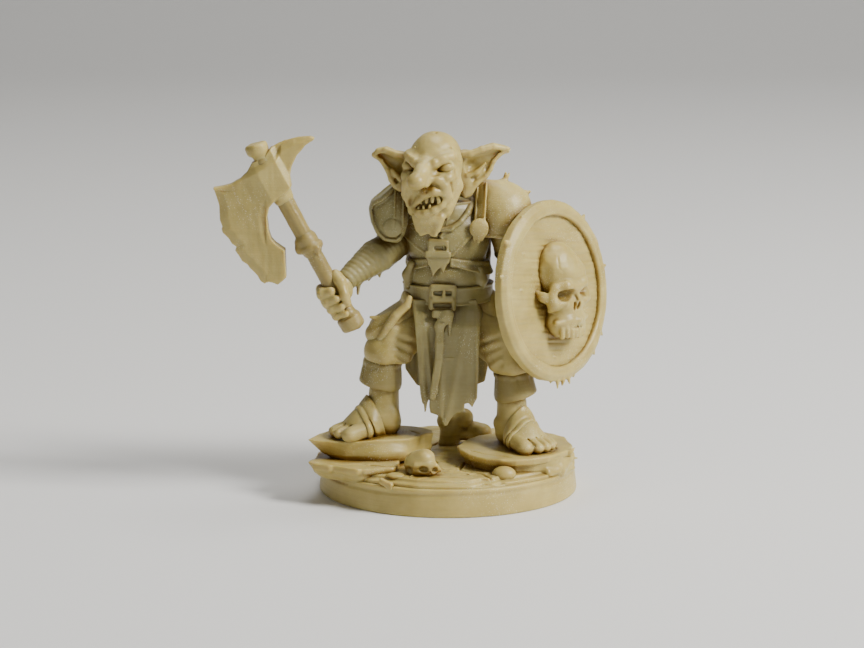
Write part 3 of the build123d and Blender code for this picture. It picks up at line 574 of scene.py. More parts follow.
def sculpt_ground_skull():
    """A small skull half sunk in the floor, cheek down, looking out over the edge."""
    base = vec(-3.1, -11.0, FLOOR_TOP)
    clay = Clay(base + vec(-2.8, -2.6, -0.3), base + vec(3.2, 2.8, 3.4), FINE)
    clay.add(ball(base + vec(-0.4, 0.4, 1.0), (1.85, 1.9, 1.75)), 0.3)
    clay.add(ball(base + vec(0.2, -0.2, 2.0), (1.2, 1.3, 1.05)), 0.4)
    clay.add(ball(base + vec(0.9, -0.9, 0.8), (1.1, 0.9, 0.9)), 0.5)
    clay.add(rod(base + vec(-0.9, -1.35, 1.3), base + vec(1.5, -1.5, 1.35), 0.3), 0.3)
    clay.add(rod(base + vec(1.3, -1.2, 1.2), base + vec(2.0, -0.7, 0.6), 0.35, 0.25), 0.3)
    clay.cut(ball(base + vec(0.05, -1.75, 0.85), (0.62, 0.7, 0.42)), 0.1)
    clay.cut(ball(base + vec(1.45, -1.75, 0.75), (0.4, 0.6, 0.36)), 0.1)
    clay.cut(ball(base + vec(0.85, -1.85, 0.4), (0.2, 0.4, 0.28)), 0.08)
    clay.cut(ball(base + vec(-1.7, -0.9, 0.6), (0.5, 0.6, 0.5)), 0.3)
    clay.roughen(0.05, 0.6, 22)
    cast(clay, "ground_skull", "resin_bone")


def sculpt_bones():
    """A knobbly thigh bone standing behind the cloth, and a second one leaning on it."""
    base = vec(1.0, 4.6, FLOOR_TOP)
    clay = Clay(base + vec(-3.0, -2.4, -0.5), base + vec(5.6, 2.8, 5.0), MEDIUM)
    clay.line([base + vec(-0.9, 0, -0.3), base + vec(-0.7, 0, 1.5), base + vec(-0.4, 0, 2.8)],
              [1.35, 1.2, 1.1], 0.5)
    clay.add(ball(base + vec(-1.3, 0.2, 2.9), (1.1, 1.1, 1.2)), 0.3)
    clay.add(ball(base + vec(0.95, 0, 3.3), (1.25, 1.15, 1.25)), 0.3)
    clay.add(rod(base + vec(0.0, 0.2, 1.2), base + vec(3.2, 0.3, 0.9), 0.8, 0.75), 0.4)
    clay.add(ball(base + vec(3.3, 0.2, 1.35), (1.25, 1.1, 1.2)), 0.3)
    clay.add(ball(base + vec(2.4, 0.2, 2.0), (0.95, 0.9, 0.8)), 0.3)
    clay.roughen(0.06, 0.8, 23)
    cast(clay, "bones", "resin_bone")


# ------------------------------------------------------------------------------ feet and legs
RIGHT_LEG, LEFT_LEG = vec(-8.0, -2.6, 0), vec(7.9, -2.6, 0)
THIGH_TOP = 20.8


def sculpt_foot(side, name, heel, heading, sole, leg):
    """A broad bare foot: heel, arch, ball, and five stubby toes; wrapped over the instep."""
    along = unit(vec(*heading))
    across = vec(-along[1], along[0], 0) * side
    ground = vec(heel[0], heel[1], sole)
    yaw = math.degrees(math.atan2(along[1], along[0]))

    def at(a, c, h):
        return ground + along * a + across * c + vec(0, 0, h)

    corners = [at(a, c, h) for a in (-2.2, 8.6) for c in (-3.4, 3.2) for h in (-0.3, 6.4)]
    clay = Clay(np.min(corners, 0), np.max(corners, 0), FINE)
    ankle = vec(leg[0], leg[1], sole + 5.0) - along * 0.1
    clay.add(ball(at(0.8, 0, 1.2), (1.8, 1.85, 1.7), turned(yaw)), 0.3)
    clay.add(rod(ankle, at(1.3, 0, 2.2), 1.85, 2.05), 0.7)
    clay.add(rod(at(1.6, 0, 2.5), at(4.0, -0.1, 1.8), 1.95, 1.75), 0.6)
    clay.add(ball(at(4.6, -0.3, 1.05), (2.1, 2.6, 1.6), turned(yaw)), 0.6)
    for ahead, sideways, r in ((6.5, -2.15, 1.12), (7.35, -0.85, 0.76), (7.45, 0.2, 0.72), (7.2, 1.15, 0.66),
                               (6.6, 1.95, 0.58)):
        knuckle, tip = at(ahead - 1.9, sideways * 0.95, 1.2), at(ahead, sideways, 0.72)
        clay.add(rod(knuckle, tip, r * 0.92, r * 0.9), 0.12)
        clay.add(ball(at(ahead + 0.25, sideways, 0.66), (r * 0.9, r * 0.92, r * 0.84), turned(yaw)), 0.08)
    for a, b in (((7.6, -1.45), (5.4, -1.35)), ((8.1, -0.33), (6.0, -0.3)), ((8.0, 0.7), (6.0, 0.65)),
                 ((7.6, 1.6), (5.8, 1.5))):
        clay.cut(rod(at(*a, 1.1), at(*b, 1.75), 0.16, 0.05), 0.2)
    clay.cut(rod(at(2.2, -2.6, 0.1), at(3.6, -2.7, 0.1), 0.45), 0.5)
    for k in (-1, 1):
        clay.add(ball(at(0.6, 1.75 * k, 2.6), (0.7, 0.45, 0.75), turned(yaw)), 0.5)
    clay.roughen(0.03, 0.8, 31)
    clay.keep(half_space((0, 0, sole - 0.12), (0, 0, -1)), 0.05)
    cast(clay, name, "resin_skin", name, name.replace("foot", "shin"))

    band = clay.blank()
    x, y, z = clay.grid()
    s = (x - ground[0]) * along[0] + (y - ground[1]) * along[1]
    c = (x - ground[0]) * across[0] + (y - ground[1]) * across[1]
    h = z - sole
    for a, lean, skew, wide, out in ((2.6, -0.36, 0.12, 0.8, 0.44), (3.95, -0.24, 0.15, 0.42, 0.2)):
        cut = np.abs(s - a + (h - 1.2) * lean + c * skew) - wide
        bulge = out * np.sqrt(np.clip(1 - (np.abs(cut + wide) / (wide + 0.05)) ** 2, 0, 1)) + 0.04
        band.d = smooth_min(band.d, smooth_max(clay.d - bulge, cut, 0.12), 0.08)
    band.d = np.maximum(band.d, -(clay.d + 0.25))
    band.keep(half_space((0, 0, sole - 0.02), (0, 0, -1)), 0.02)
    cast(band, name.replace("foot", "instep_band"), "resin_skin")


def sculpt_trouser(side, leg, knee, cuff_low, prefix):
    """A full trouser leg that overhangs the gather at the knee, and the plain flared cuff below it."""
    gather = cuff_low + 3.45
    clay = Clay(np.minimum(vec(side * 1.0, -7, 0), leg - 4.4) * vec(1, 1, 0) + vec(0, 0, gather - 0.8),
                np.maximum(vec(side * 1.0, 4.4, 0), leg + 4.4) * vec(1, 1, 0) + vec(0, 0.8, 23.4), MEDIUM)
    hip = vec(side * 2.9, -0.9, THIGH_TOP)
    middle = vec(side * 5.5, -1.8, (knee[2] + THIGH_TOP) / 2 + 0.8)
    low_end = vec(knee[0], knee[1] - 0.1, gather + 1.4)
    clay.line([hip, middle, low_end], [3.0, 2.7, 2.35], 1.0)
    clay.add(ball(low_end + vec(-side * 0.15, -0.2, -0.4), (2.4, 2.5, 1.9)), 0.7)
    crease = [vec(side * 6.9, -4.2, 21.0), vec(side * 7.3, -4.6, 19.3), vec(side * 7.9, -4.95, gather + 0.2)]
    clay.line(crease, [0.4, 0.4, 0.34], 0.8)
    # soft folds from the crease down to the inside of the knee
    for i, z in enumerate((20.3, 19.2, 18.1, 17.1)):
        if z < gather + 0.2:
            continue
        start = vec(side * (6.6 + 0.1 * i), -4.15 - 0.12 * i, z)
        end = vec(side * (3.8 + 0.55 * i), -3.4 - 0.3 * i, z - 1.0)
        clay.add(rod(start, end, 0.38, 0.5), 0.8)
        clay.cut(rod(start + vec(-side * 0.5, -0.75, -0.55), end + vec(0, -0.95, -0.5), 0.08, 0.12), 0.6)
    clay.roughen(0.06, 1.7, 41 + side).roughen(0.02, 0.6, 42 + side)
    clay.keep(half_space((0, 0, gather), (side * 0.06, 0.1, -1)), 0.25)
    cast(clay, f"{prefix}_trouser_leg", "resin_skin")

    low, high = vec(leg[0] - 3.6, leg[1] - 3.6, cuff_low - 0.8), vec(leg[0] + 3.6, leg[1] + 3.6, gather + 1.4)
    clay = Clay(low, high, FINE)
    clay.add(rod(leg + vec(0, 0, gather + 0.4), leg + vec(side * 0.35, -0.1, cuff_low + 0.8), 2.2, 2.66), 0.3)
    clay.add(ring(leg + vec(0, 0, gather - 0.2), (side * 0.06, 0.1, -1), 2.15, 0.26, 1.2), 0.25)
    clay.cut(ball(leg + vec(side * 0.3, 0, cuff_low - 0.5), (2.15, 2.15, 1.5)), 0.1)
    clay.keep(half_space(leg + vec(0, 0, cuff_low + 0.35), (side * 0.24, 0.1, -1)), 0.1)
    for heading, drop in ((250, 0.4), (285, 0.2), (205, 0.3), (330, 0.3), (20, 0.3), (90, 0.4), (150, 0.2)):
        out = vec(math.cos(math.radians(heading)), math.sin(math.radians(heading)), 0)
        top = leg + out * 2.62 + vec(0, 0, gather - 0.5)
        low = leg + out * 3.05 + vec(0.4, 0, cuff_low + 1.2 + drop)
        clay.cut(rod(top, low, 0.1, 0.03), 0.5)
    clay.roughen(0.045, 1.3, 45 + side)
    cast(clay, f"{prefix}_trouser_cuff", "resin_cloth")


# ------------------------------------------------------------------------------ hips, belt and cloths
BELT_Z = 24.78  # the height of the belt's middle


def sculpt_hips():
    """The gathered cloth under the belt."""
    clay = Clay((-6.6, -5.6, 19.6), (6.6, 4.6, 26.4), MEDIUM)
    clay.add(ball((0, -0.8, 21.8), (5.3, 3.7, 3.0)), 0.3)
    clay.add(ball((0, -0.6, 24.6), (4.8, 3.6, 2.5)), 0.5)
    for i in range(14):
        angle = math.radians(i * 360 / 14 + 8)
        top = vec(5.0 * math.cos(angle), -0.6 + 3.8 * math.sin(angle), 23.4)
        low = vec(5.6 * math.cos(angle), -0.7 + 4.1 * math.sin(angle), 20.4)
        clay.add(rod(top, low, 0.22, 0.4), 0.7)
    clay.roughen(0.06, 0.9, 51)
    cast(clay, "hips", "resin_cloth")


def sculpt_belt():
    """The broad waist belt with raised edges."""
    clay = Clay((-6.4, -5.8, 22.9), (6.4, 4.8, 26.6), FINE)
    x, y, z = clay.grid()
    level = z - BELT_Z - 0.012 * x * x * 0.5
    edge = 0.1 * np.exp(-((np.abs(level) - 0.98) / 0.14) ** 2) + 0.12
    oval = (np.sqrt((x / 5.35) ** 2 + ((y + 0.6) / 4.2) ** 2) - 1) * 4.3
    clay.d = smooth_max(oval - edge, np.abs(level) - 1.16, 0.15).astype(np.float32)
    clay.d = np.maximum(clay.d, -(oval + 0.9))
    clay.roughen(0.03, 0.5, 52)
    cast(clay, "waist_belt", "resin_cloth")


def sculpt_belt_buckle():
    """The square buckle with two openings and a pin."""
    centre = vec(-0.7, -5.1, BELT_Z)
    clay = Clay(centre - vec(2.4, 1.2, 2.4), centre + vec(2.4, 1.0, 2.2), FINE)
    clay.add(brick(centre, (1.68, 0.48, 1.62), turned(0, 2), 0.42), 0.1)
    clay.cut(brick(centre + vec(-0.05, -0.45, 0.6), (1.12, 0.42, 0.3), None, 0.2), 0.12)
    clay.cut(brick(centre + vec(-0.05, -0.45, -0.95), (1.12, 0.42, 0.3), None, 0.2), 0.12)
    clay.add(rod(centre + vec(-1.05, -0.4, -0.17), centre + vec(1.05, -0.4, -0.15), 0.38), 0.2)
    clay.add(rod(centre + vec(0.05, -0.5, -0.2), centre + vec(0.15, -0.5, 0.75), 0.24, 0.2), 0.12)
    clay.roughen(0.03, 0.45, 53)
    cast(clay, "belt_buckle", "resin_cloth")


def folded(base, folds, tuck=0.0):
    """A cloth's depth: a base plane with folds of (x at z 18, width, depth, slant), growing downwards.

    tuck pulls the top back to where the cloth comes out from under the belt.
    """
    def depth(u, v):
        y = base + 0 * u + tuck * smooth_step(21.2, 24.0, v)
        grow = smooth_step(24.0, 19.0, v) * 0.65 + 0.35
        for x, width, size, slant in folds:
            y = y - size * grow * np.exp(-((u - x - (18 - v) * slant) / width) ** 2)
        return y
    return depth


def sculpt_front_cloths():
    """The two ragged panels of the loincloth."""
    right = [(-4.6, 24.4), (-1.0, 24.4), (-0.9, 18.5), (-1.2, 14.2), (-1.3, 12.4), (-2.2, 12.0), (-2.4, 12.3),
             (-2.55, 11.9), (-2.72, 10.9), (-2.92, 10.7), (-3.0, 11.7), (-3.2, 11.9), (-3.42, 13.0),
             (-3.6, 16.0), (-3.85, 19.0), (-4.1, 22.0)]
    clay = Clay((-5.2, -8.4, 10.2), (-0.2, -2.8, 24.8), FINE)
    folds = [(-3.3, 0.42, 0.28, 0.08), (-2.5, 0.36, 0.26, 0.12), (-3.85, 0.2, 0.2, 0.04)]
    clay.add(sheet(right, folded(-5.75, folds, 1.7), 0.6), 0.1)
    clay.roughen(0.03, 0.8, 54, (1, 1, 4))
    cast(clay, "front_cloth_right", "resin_cloth")

    left = [(0.2, 24.4), (3.4, 24.4), (3.95, 22.8), (3.72, 18.5), (3.6, 14.6), (3.5, 12.6), (3.2, 12.0),
            (2.9, 11.4), (2.45, 11.95), (2.0, 11.8), (1.95, 11.1), (1.6, 10.7), (1.0, 10.6), (0.45, 10.1),
            (0.1, 9.6), (-0.15, 9.1), (-0.5, 9.1), (-0.77, 9.5), (-0.9, 10.1), (-1.4, 10.4), (-2.2, 10.7),
            (-2.35, 11.5), (-2.3, 12.4), (-1.7, 12.9), (-1.3, 16.0), (-1.1, 18.5), (-0.8, 20.3), (-0.2, 21.8)]
    clay = Clay((-2.9, -8.6, 8.5), (4.4, -2.8, 24.8), FINE)
    folds = [(1.4, 0.5, 0.2, -0.2), (3.45, 0.18, 0.28, 0.0), (2.4, 0.6, 0.12, 0.0), (-0.9, 0.45, 0.18, 0.0)]
    clay.add(sheet(left, folded(-5.95, folds, 1.9), 0.6), 0.1)
    clay.add(rod((-0.7, -6.22, 17.5), (3.5, -6.17, 17.55), 0.13), 0.08)
    for x, low, high in ((0.7, 10.6, 12.2), (-0.6, 10.2, 11.8), (2.5, 12.0, 13.4)):
        clay.cut(rod((x, -6.45, low), (x + 0.1, -6.4, high), 0.1, 0.03), 0.15)
    clay.roughen(0.03, 0.8, 55, (1, 1, 4))
    cast(clay, "front_cloth_left", "resin_cloth")


def sculpt_belt_tail():
    """The end of the belt, knotted over it and hanging down the front."""
    clay = Clay((-3.1, -8.6, 11.8), (1.2, -4.6, 24.0), FINE)
    strap = [vec(-1.0, -6.35, 21.8), vec(-1.1, -6.7, 19.4), vec(-1.15, -6.75, 17.4), vec(-1.5, -6.75, 15.4),
             vec(-1.75, -6.7, 13.65), vec(-1.9, -6.65, 12.75)]
    clay.line(strap, [0.5, 0.52, 0.46, 0.46, 0.46, 0.36], 0.15, ((0, 1, 0), 1.7))
    clay.line([p + vec(-0.28, -0.18, 0) for p in strap], [0.16, 0.18, 0.16, 0.16, 0.16, 0.1], 0.2)
    clay.add(brick((-0.7, -5.8, 22.85), (1.35, 0.62, 0.5), turned(0, 3), 0.4), 0.2)
    clay.add(rod((-0.2, -6.1, 22.7), (-1.15, -6.45, 21.5), 0.75, 0.55), 0.35)
    clay.cut(rod((-1.6, -6.75, 22.2), (0.1, -6.9, 22.0), 0.1, 0.16), 0.2)
    clay.add(rod((0.2, -6.2, 22.3), (0.12, -6.3, 20.4), 0.36, 0.18), 0.15)
    clay.roughen(0.03, 0.6, 56)
    cast(clay, "belt_tail", "resin_cloth")


def sculpt_back_cloth():
    """The ragged cloth that hangs behind."""
    back = [(-4.6, 23.6), (4.6, 23.6), (5.2, 21.6), (5.4, 18.0), (5.0, 14.4), (4.6, 12.6), (3.4, 11.9),
            (2.4, 12.6), (1.6, 11.4), (0.4, 11.0), (-0.6, 12.2), (-1.6, 11.2), (-2.8, 11.8), (-3.9, 12.0),
            (-4.8, 13.4), (-5.3, 14.2), (-5.5, 18), (-5.2, 21.6)]
    clay = Clay((-6.1, 1.2, 10.4), (6.1, 5.4, 24.2), MEDIUM)
    folds = [(-4, 0.5, -0.4, 0), (-2.2, 0.45, -0.5, 0.04), (-0.2, 0.5, -0.45, 0), (1.9, 0.5, -0.5, -0.03),
             (3.8, 0.5, -0.4, 0)]
    clay.add(sheet(back, folded(3.6, folds, -0.5), 0.7), 0.1)
    clay.add(brick((0, 2.5, 22.7), (4.5, 1.0, 1.0), None, 0.4), 0.6)
    clay.roughen(0.05, 0.8, 57, (1, 1, 4))
    cast(clay, "back_cloth", "resin_cloth")


def sculpt_right_skirt():
    """The tunic's skirt over the right hip, with its thick front hem."""
    clay = Clay((-11.2, -6.2, 17.8), (-2.8, 5.2, 26.2), FINE)
    clay.add(rod((-4.2, -0.8, 22.9), (-7.6, -1.2, 19.9), 1.6, 2.3, flat=((0, 1, 0), 0.62)), 0.3)
    clay.add(rod((-7.4, -2.6, 21.0), (-8.9, -2.9, 19.9), 1.3, 1.3), 0.5)
    clay.add(ball((-4.9, -1.0, 23.9), (0.9, 2.8, 1.3)), 0.5)
    clay.cut(rod((-6.2, -2.2, 17.4), (-8.2, -1.6, 17.4), 2.3, 2.4), 0.2)
    clay.keep(half_space((-9.0, -1, 18.8), (0.16, 0, -1)), 0.3)
    hem = [(-4.75, -4.5, 24.6), (-5.1, -4.6, 23.7), (-6.4, -4.8, 22.5), (-7.3, -4.7, 21.2),
           (-8.2, -4.3, 19.6)]
    clay.line(hem, [0.42, 0.5, 0.55, 0.55, 0.52], 0.15)
    for x0, z0, y0 in ((-9.3, 19.5, -1.8), (-9.4, 19.6, 0.0), (-8.9, 19.5, 1.6)):
        clay.add(rod((-5.6, y0 * 0.7, 22.8), (x0, y0, z0), 0.3, 0.45), 0.6)
    clay.add(rod((-8.2, -2.6, 21.7), (-9.5, -2.9, 21.95), 0.4, 0.14), 0.2)
    clay.roughen(0.05, 1.0, 58)
    cast(clay, "right_hip_skirt", "resin_skin")


def sculpt_left_skirt():
    """The tunic's skirt over the left hip."""
    clay = Clay((2.8, -5.8, 16.8), (9.6, 5.0, 25.4), MEDIUM)
    clay.add(rod((4.0, -0.4, 23.4), (5.8, -0.7, 19.8), 2.2, 2.8), 0.3)
    clay.cut(rod((6.2, -2.0, 17.0), (7.2, -1.6, 16.8), 2.5), 0.2)
    clay.keep(half_space((6, -1, 18.4), (0.0, 0, -1)), 0.3)
    for x0, y0 in ((7.2, -3.0), (7.9, -1.0), (7.6, 1.4)):
        clay.add(rod((5.0, y0 * 0.7, 23.2), (x0, y0, 18.8), 0.35, 0.5), 0.6)
    clay.roughen(0.06, 0.9, 59)
    cast(clay, "left_hip_skirt", "resin_skin")


# ------------------------------------------------------------------------------ torso
def torso_shape(clay):
    """The barrel chest and belly, shared by the torso and by what is strapped over it."""
    clay.add(ball((-0.1, -0.7, 31.4), (5.2, 3.7, 4.6)), 0.3)
    clay.add(ball((0.1, -0.8, 27.0), (5.05, 3.9, 3.4)), 0.9)
    clay.add(rod((-5.2, -0.5, 34.2), (5.2, -0.4, 34.6), 1.7), 1.2)
    clay.add(ball((-0.6, -1.2, 35.0), (3.2, 2.6, 1.8)), 0.8)


def sculpt_torso():
    """The shirt over the chest, with the straps of the harness crossed on its back."""
    clay = Clay((-7.4, -6.0, 24.8), (7.6, 4.6, 37.4), MEDIUM)
    torso_shape(clay)
    clay.line([(-4.5, -3.0, 28.6), (-5.0, -2.6, 27.2), (-4.9, -2.4, 25.8)], [0.5, 0.55, 0.5], 0.5)
    clay.line([(3.9, -3.4, 28.0), (4.2, -3.2, 26.6), (4.0, -3.2, 25.8)], [0.4, 0.5, 0.4], 0.6)
    clay.cut(rod((-0.5, -5.0, 27.4), (-0.3, -5.0, 25.9), 0.08), 0.6)
    for i in range(5):  # folds of the shirt across the back
        clay.add(rod((-4.4, 2.0, 34.0 - 1.5 * i), (4.4, 2.0, 33.2 - 1.4 * i), 0.9, 0.9), 0.8)
        clay.cut(rod((-3.6, 3.4, 33.3 - 1.5 * i), (3.8, 3.4, 32.5 - 1.4 * i), 0.14), 0.4)
    body = clay.d.copy()
    x, y, z = clay.grid()
    for k in (-1, 1):  # the harness straps cross on the back
        strap = np.abs(x * k + (z - 31.3) * 1.05) / 1.45 - 0.7
        hem = 0.1 * np.exp(-((strap + 0.16) / 0.12) ** 2)
        strap = smooth_max(strap + 0 * body, body - 0.3 - hem, 0.12)
        clay.d = smooth_min(clay.d, np.maximum(strap, 0.4 - y), 0.08)
    clay.roughen(0.05, 1.2, 61).roughen(0.015, 0.5, 62)
    cast(clay, "torso", "resin_cloth")


def sculpt_harness():
    """The crossed vest: a wide lapel from each shoulder, and two straps round the ribs."""
    clay = Clay((-7.2, -6.6, 25.6), (7.2, 4.4, 37.4), FINE)
    torso_shape(clay)
    body = clay.d.copy()
    x, y, z = clay.grid()
    clay.d = np.full(body.shape, FAR, np.float32)

    def panel(outline, out, hem=0.0):
        """A piece of leather of that outline laid on the body, with its hem raised."""
        edge = outline_distance(outline, x, z) + 0 * y
        lip = hem * np.exp(-((edge + 0.22) / 0.16) ** 2)
        flat = smooth_max(edge, body - out - lip, 0.14)
        clay.d = smooth_min(clay.d, np.maximum(np.maximum(flat, y + 0.2), -(body + 0.35)), 0.06)

    panel([(-6.0, 36.4), (-6.0, 32.2), (-4.15, 30.7), (-2.6, 29.7), (-1.6, 29.7), (-1.2, 32.0), (-2.0, 36.4)],
          0.3, 0.14)
    panel([(0.0, 36.4), (-0.6, 33.2), (-1.2, 32.4), (-0.4, 29.7), (0.5, 29.7), (1.6, 30.8), (2.85, 32.1),
           (4.6, 33.9), (5.4, 35.4), (4.8, 36.4)], 0.5, 0.16)
    panel([(0.1, 29.6), (4.9, 28.8), (5.9, 28.7), (5.9, 27.1), (4.95, 27.1), (1.4, 28.3), (0.1, 28.5)], 0.34,
          0.08)
    panel([(-6.0, 28.8), (-4.9, 28.95), (-2.4, 29.5), (-2.4, 28.45), (-4.6, 27.7), (-6.0, 27.4)], 0.3, 0.08)
    clay.roughen(0.03, 0.8, 63)
    cast(clay, "chest_harness", "resin_cloth")


def sculpt_chest_buckle():
    """The buckle on the breast and the ragged tongue under it."""
    clay = Clay((-3.7, -6.4, 26.6), (1.4, -3.6, 33.0), FINE)
    clay.add(brick((-1.25, -4.75, 31.1), (1.32, 0.5, 0.86), turned(0, 2), 0.3), 0.1)
    clay.cut(brick((-1.0, -5.25, 30.9), (0.72, 0.42, 0.3), None, 0.2), 0.12)
    clay.add(brick((-1.3, -4.95, 30.1), (1.64, 0.5, 0.42), turned(0, 2), 0.3), 0.12)
    clay.cut(rod((-2.2, -5.5, 29.6), (-0.3, -5.5, 29.55), 0.12), 0.12)
    tongue = [(-2.65, 29.7), (0.2, 29.7), (0.1, 29.1), (-0.2, 28.8), (-0.6, 27.9), (-0.95, 28.5),
              (-1.3, 28.3), (-1.9, 27.45), (-2.2, 28.5), (-2.5, 28.9)]
    clay.add(sheet(tongue, -4.95, 0.55), 0.2)
    clay.roughen(0.035, 0.6, 64)
    cast(clay, "chest_buckle", "resin_cloth")


def sculpt_neck():
    """The neck with a sinew down each side."""
    clay = Clay((-4.4, -5.4, 33.2), (2.8, 1.4, 38.6), MEDIUM)
    clay.add(rod((-0.5, -1.6, 34.4), (-1.4, -3.2, 38.0), 2.2, 2.0), 0.2)
    for side in (-1, 1):
        clay.add(rod((-0.6 + side * 1.2, -3.1, 34.6), (-1.4 + side * 1.7, -3.6, 37.8), 0.5, 0.45), 0.4)
    clay.roughen(0.04, 0.7, 65)
    cast(clay, "neck", "resin_skin")


def sculpt_collar():
    """The rolled collar: a low point at the front and a thick roll behind."""
    clay = Clay((-5.0, -6.8, 31.8), (4.2, 2.8, 38.2), FINE)
    front = [(-4.2, -2.4, 35.6), (-2.6, -4.3, 33.9), (-0.8, -4.75, 33.15), (0.4, -4.75, 33.25),
             (1.5, -4.4, 34.05), (2.3, -3.6, 34.95)]
    back = [(2.3, -3.6, 34.95), (2.9, -1.8, 35.9), (2.3, 0.6, 36.4), (-0.5, 1.7, 36.6), (-3.4, 0.5, 36.4),
            (-4.3, -1.2, 36.1), (-4.2, -2.4, 35.6)]
    clay.line(front, [0.42, 0.42, 0.36, 0.34, 0.36, 0.42], 0.2)
    clay.line(back, [0.42, 0.7, 0.8, 0.8, 0.8, 0.7, 0.42], 0.2)
    clay.add(ball((-0.6, -2.9, 33.9), (2.5, 1.7, 0.9)), 0.3)
    clay.cut(rod((-0.2, -5.1, 33.3), (0.9, -5.0, 33.75), 0.07), 0.15)
    clay.roughen(0.04, 0.7, 66)
    cast(clay, "neck_collar", "resin_cloth")


# ------------------------------------------------------------------------------ head
FACE = unit(vec(-0.309, -0.951, 0))
FACE_LEFT = vec(-FACE[1], FACE[0], 0)
SKULL = vec(-1.6, -3.8, 0)
FACE_YAW = math.degrees(math.atan2(FACE[1], FACE[0]))


def face(forward, left, z):
    """A point ahead of and beside the middle line of the head."""
    return SKULL + FACE * forward + FACE_LEFT * left + vec(0, 0, z)


def skull_shape(clay):
    """The masses of the head, without its small features."""
    yaw = turned(FACE_YAW)
    clay.add(ball(face(0.0, 0, 41.2), (3.9, 3.3, 3.65), yaw), 0.3)
    clay.add(ball(face(-0.1, 0.15, 42.75), (2.4, 2.3, 1.9), yaw), 0.9)
    clay.add(ball(face(1.0, 0.1, 39.2), (3.05, 3.1, 3.4), yaw), 0.8)
    clay.add(ball(face(1.5, 0.15, 36.6), (2.6, 2.55, 2.1), yaw), 0.8)
    for side in (-1, 1):
        clay.add(ball(face(2.6, 2.35 * side, 39.9), (1.35, 1.1, 0.8), yaw), 0.7)
        clay.add(rod(face(0.3, 2.8 * side, 38.4), face(2.3, 2.0 * side, 35.6), 0.75, 0.7), 0.9)


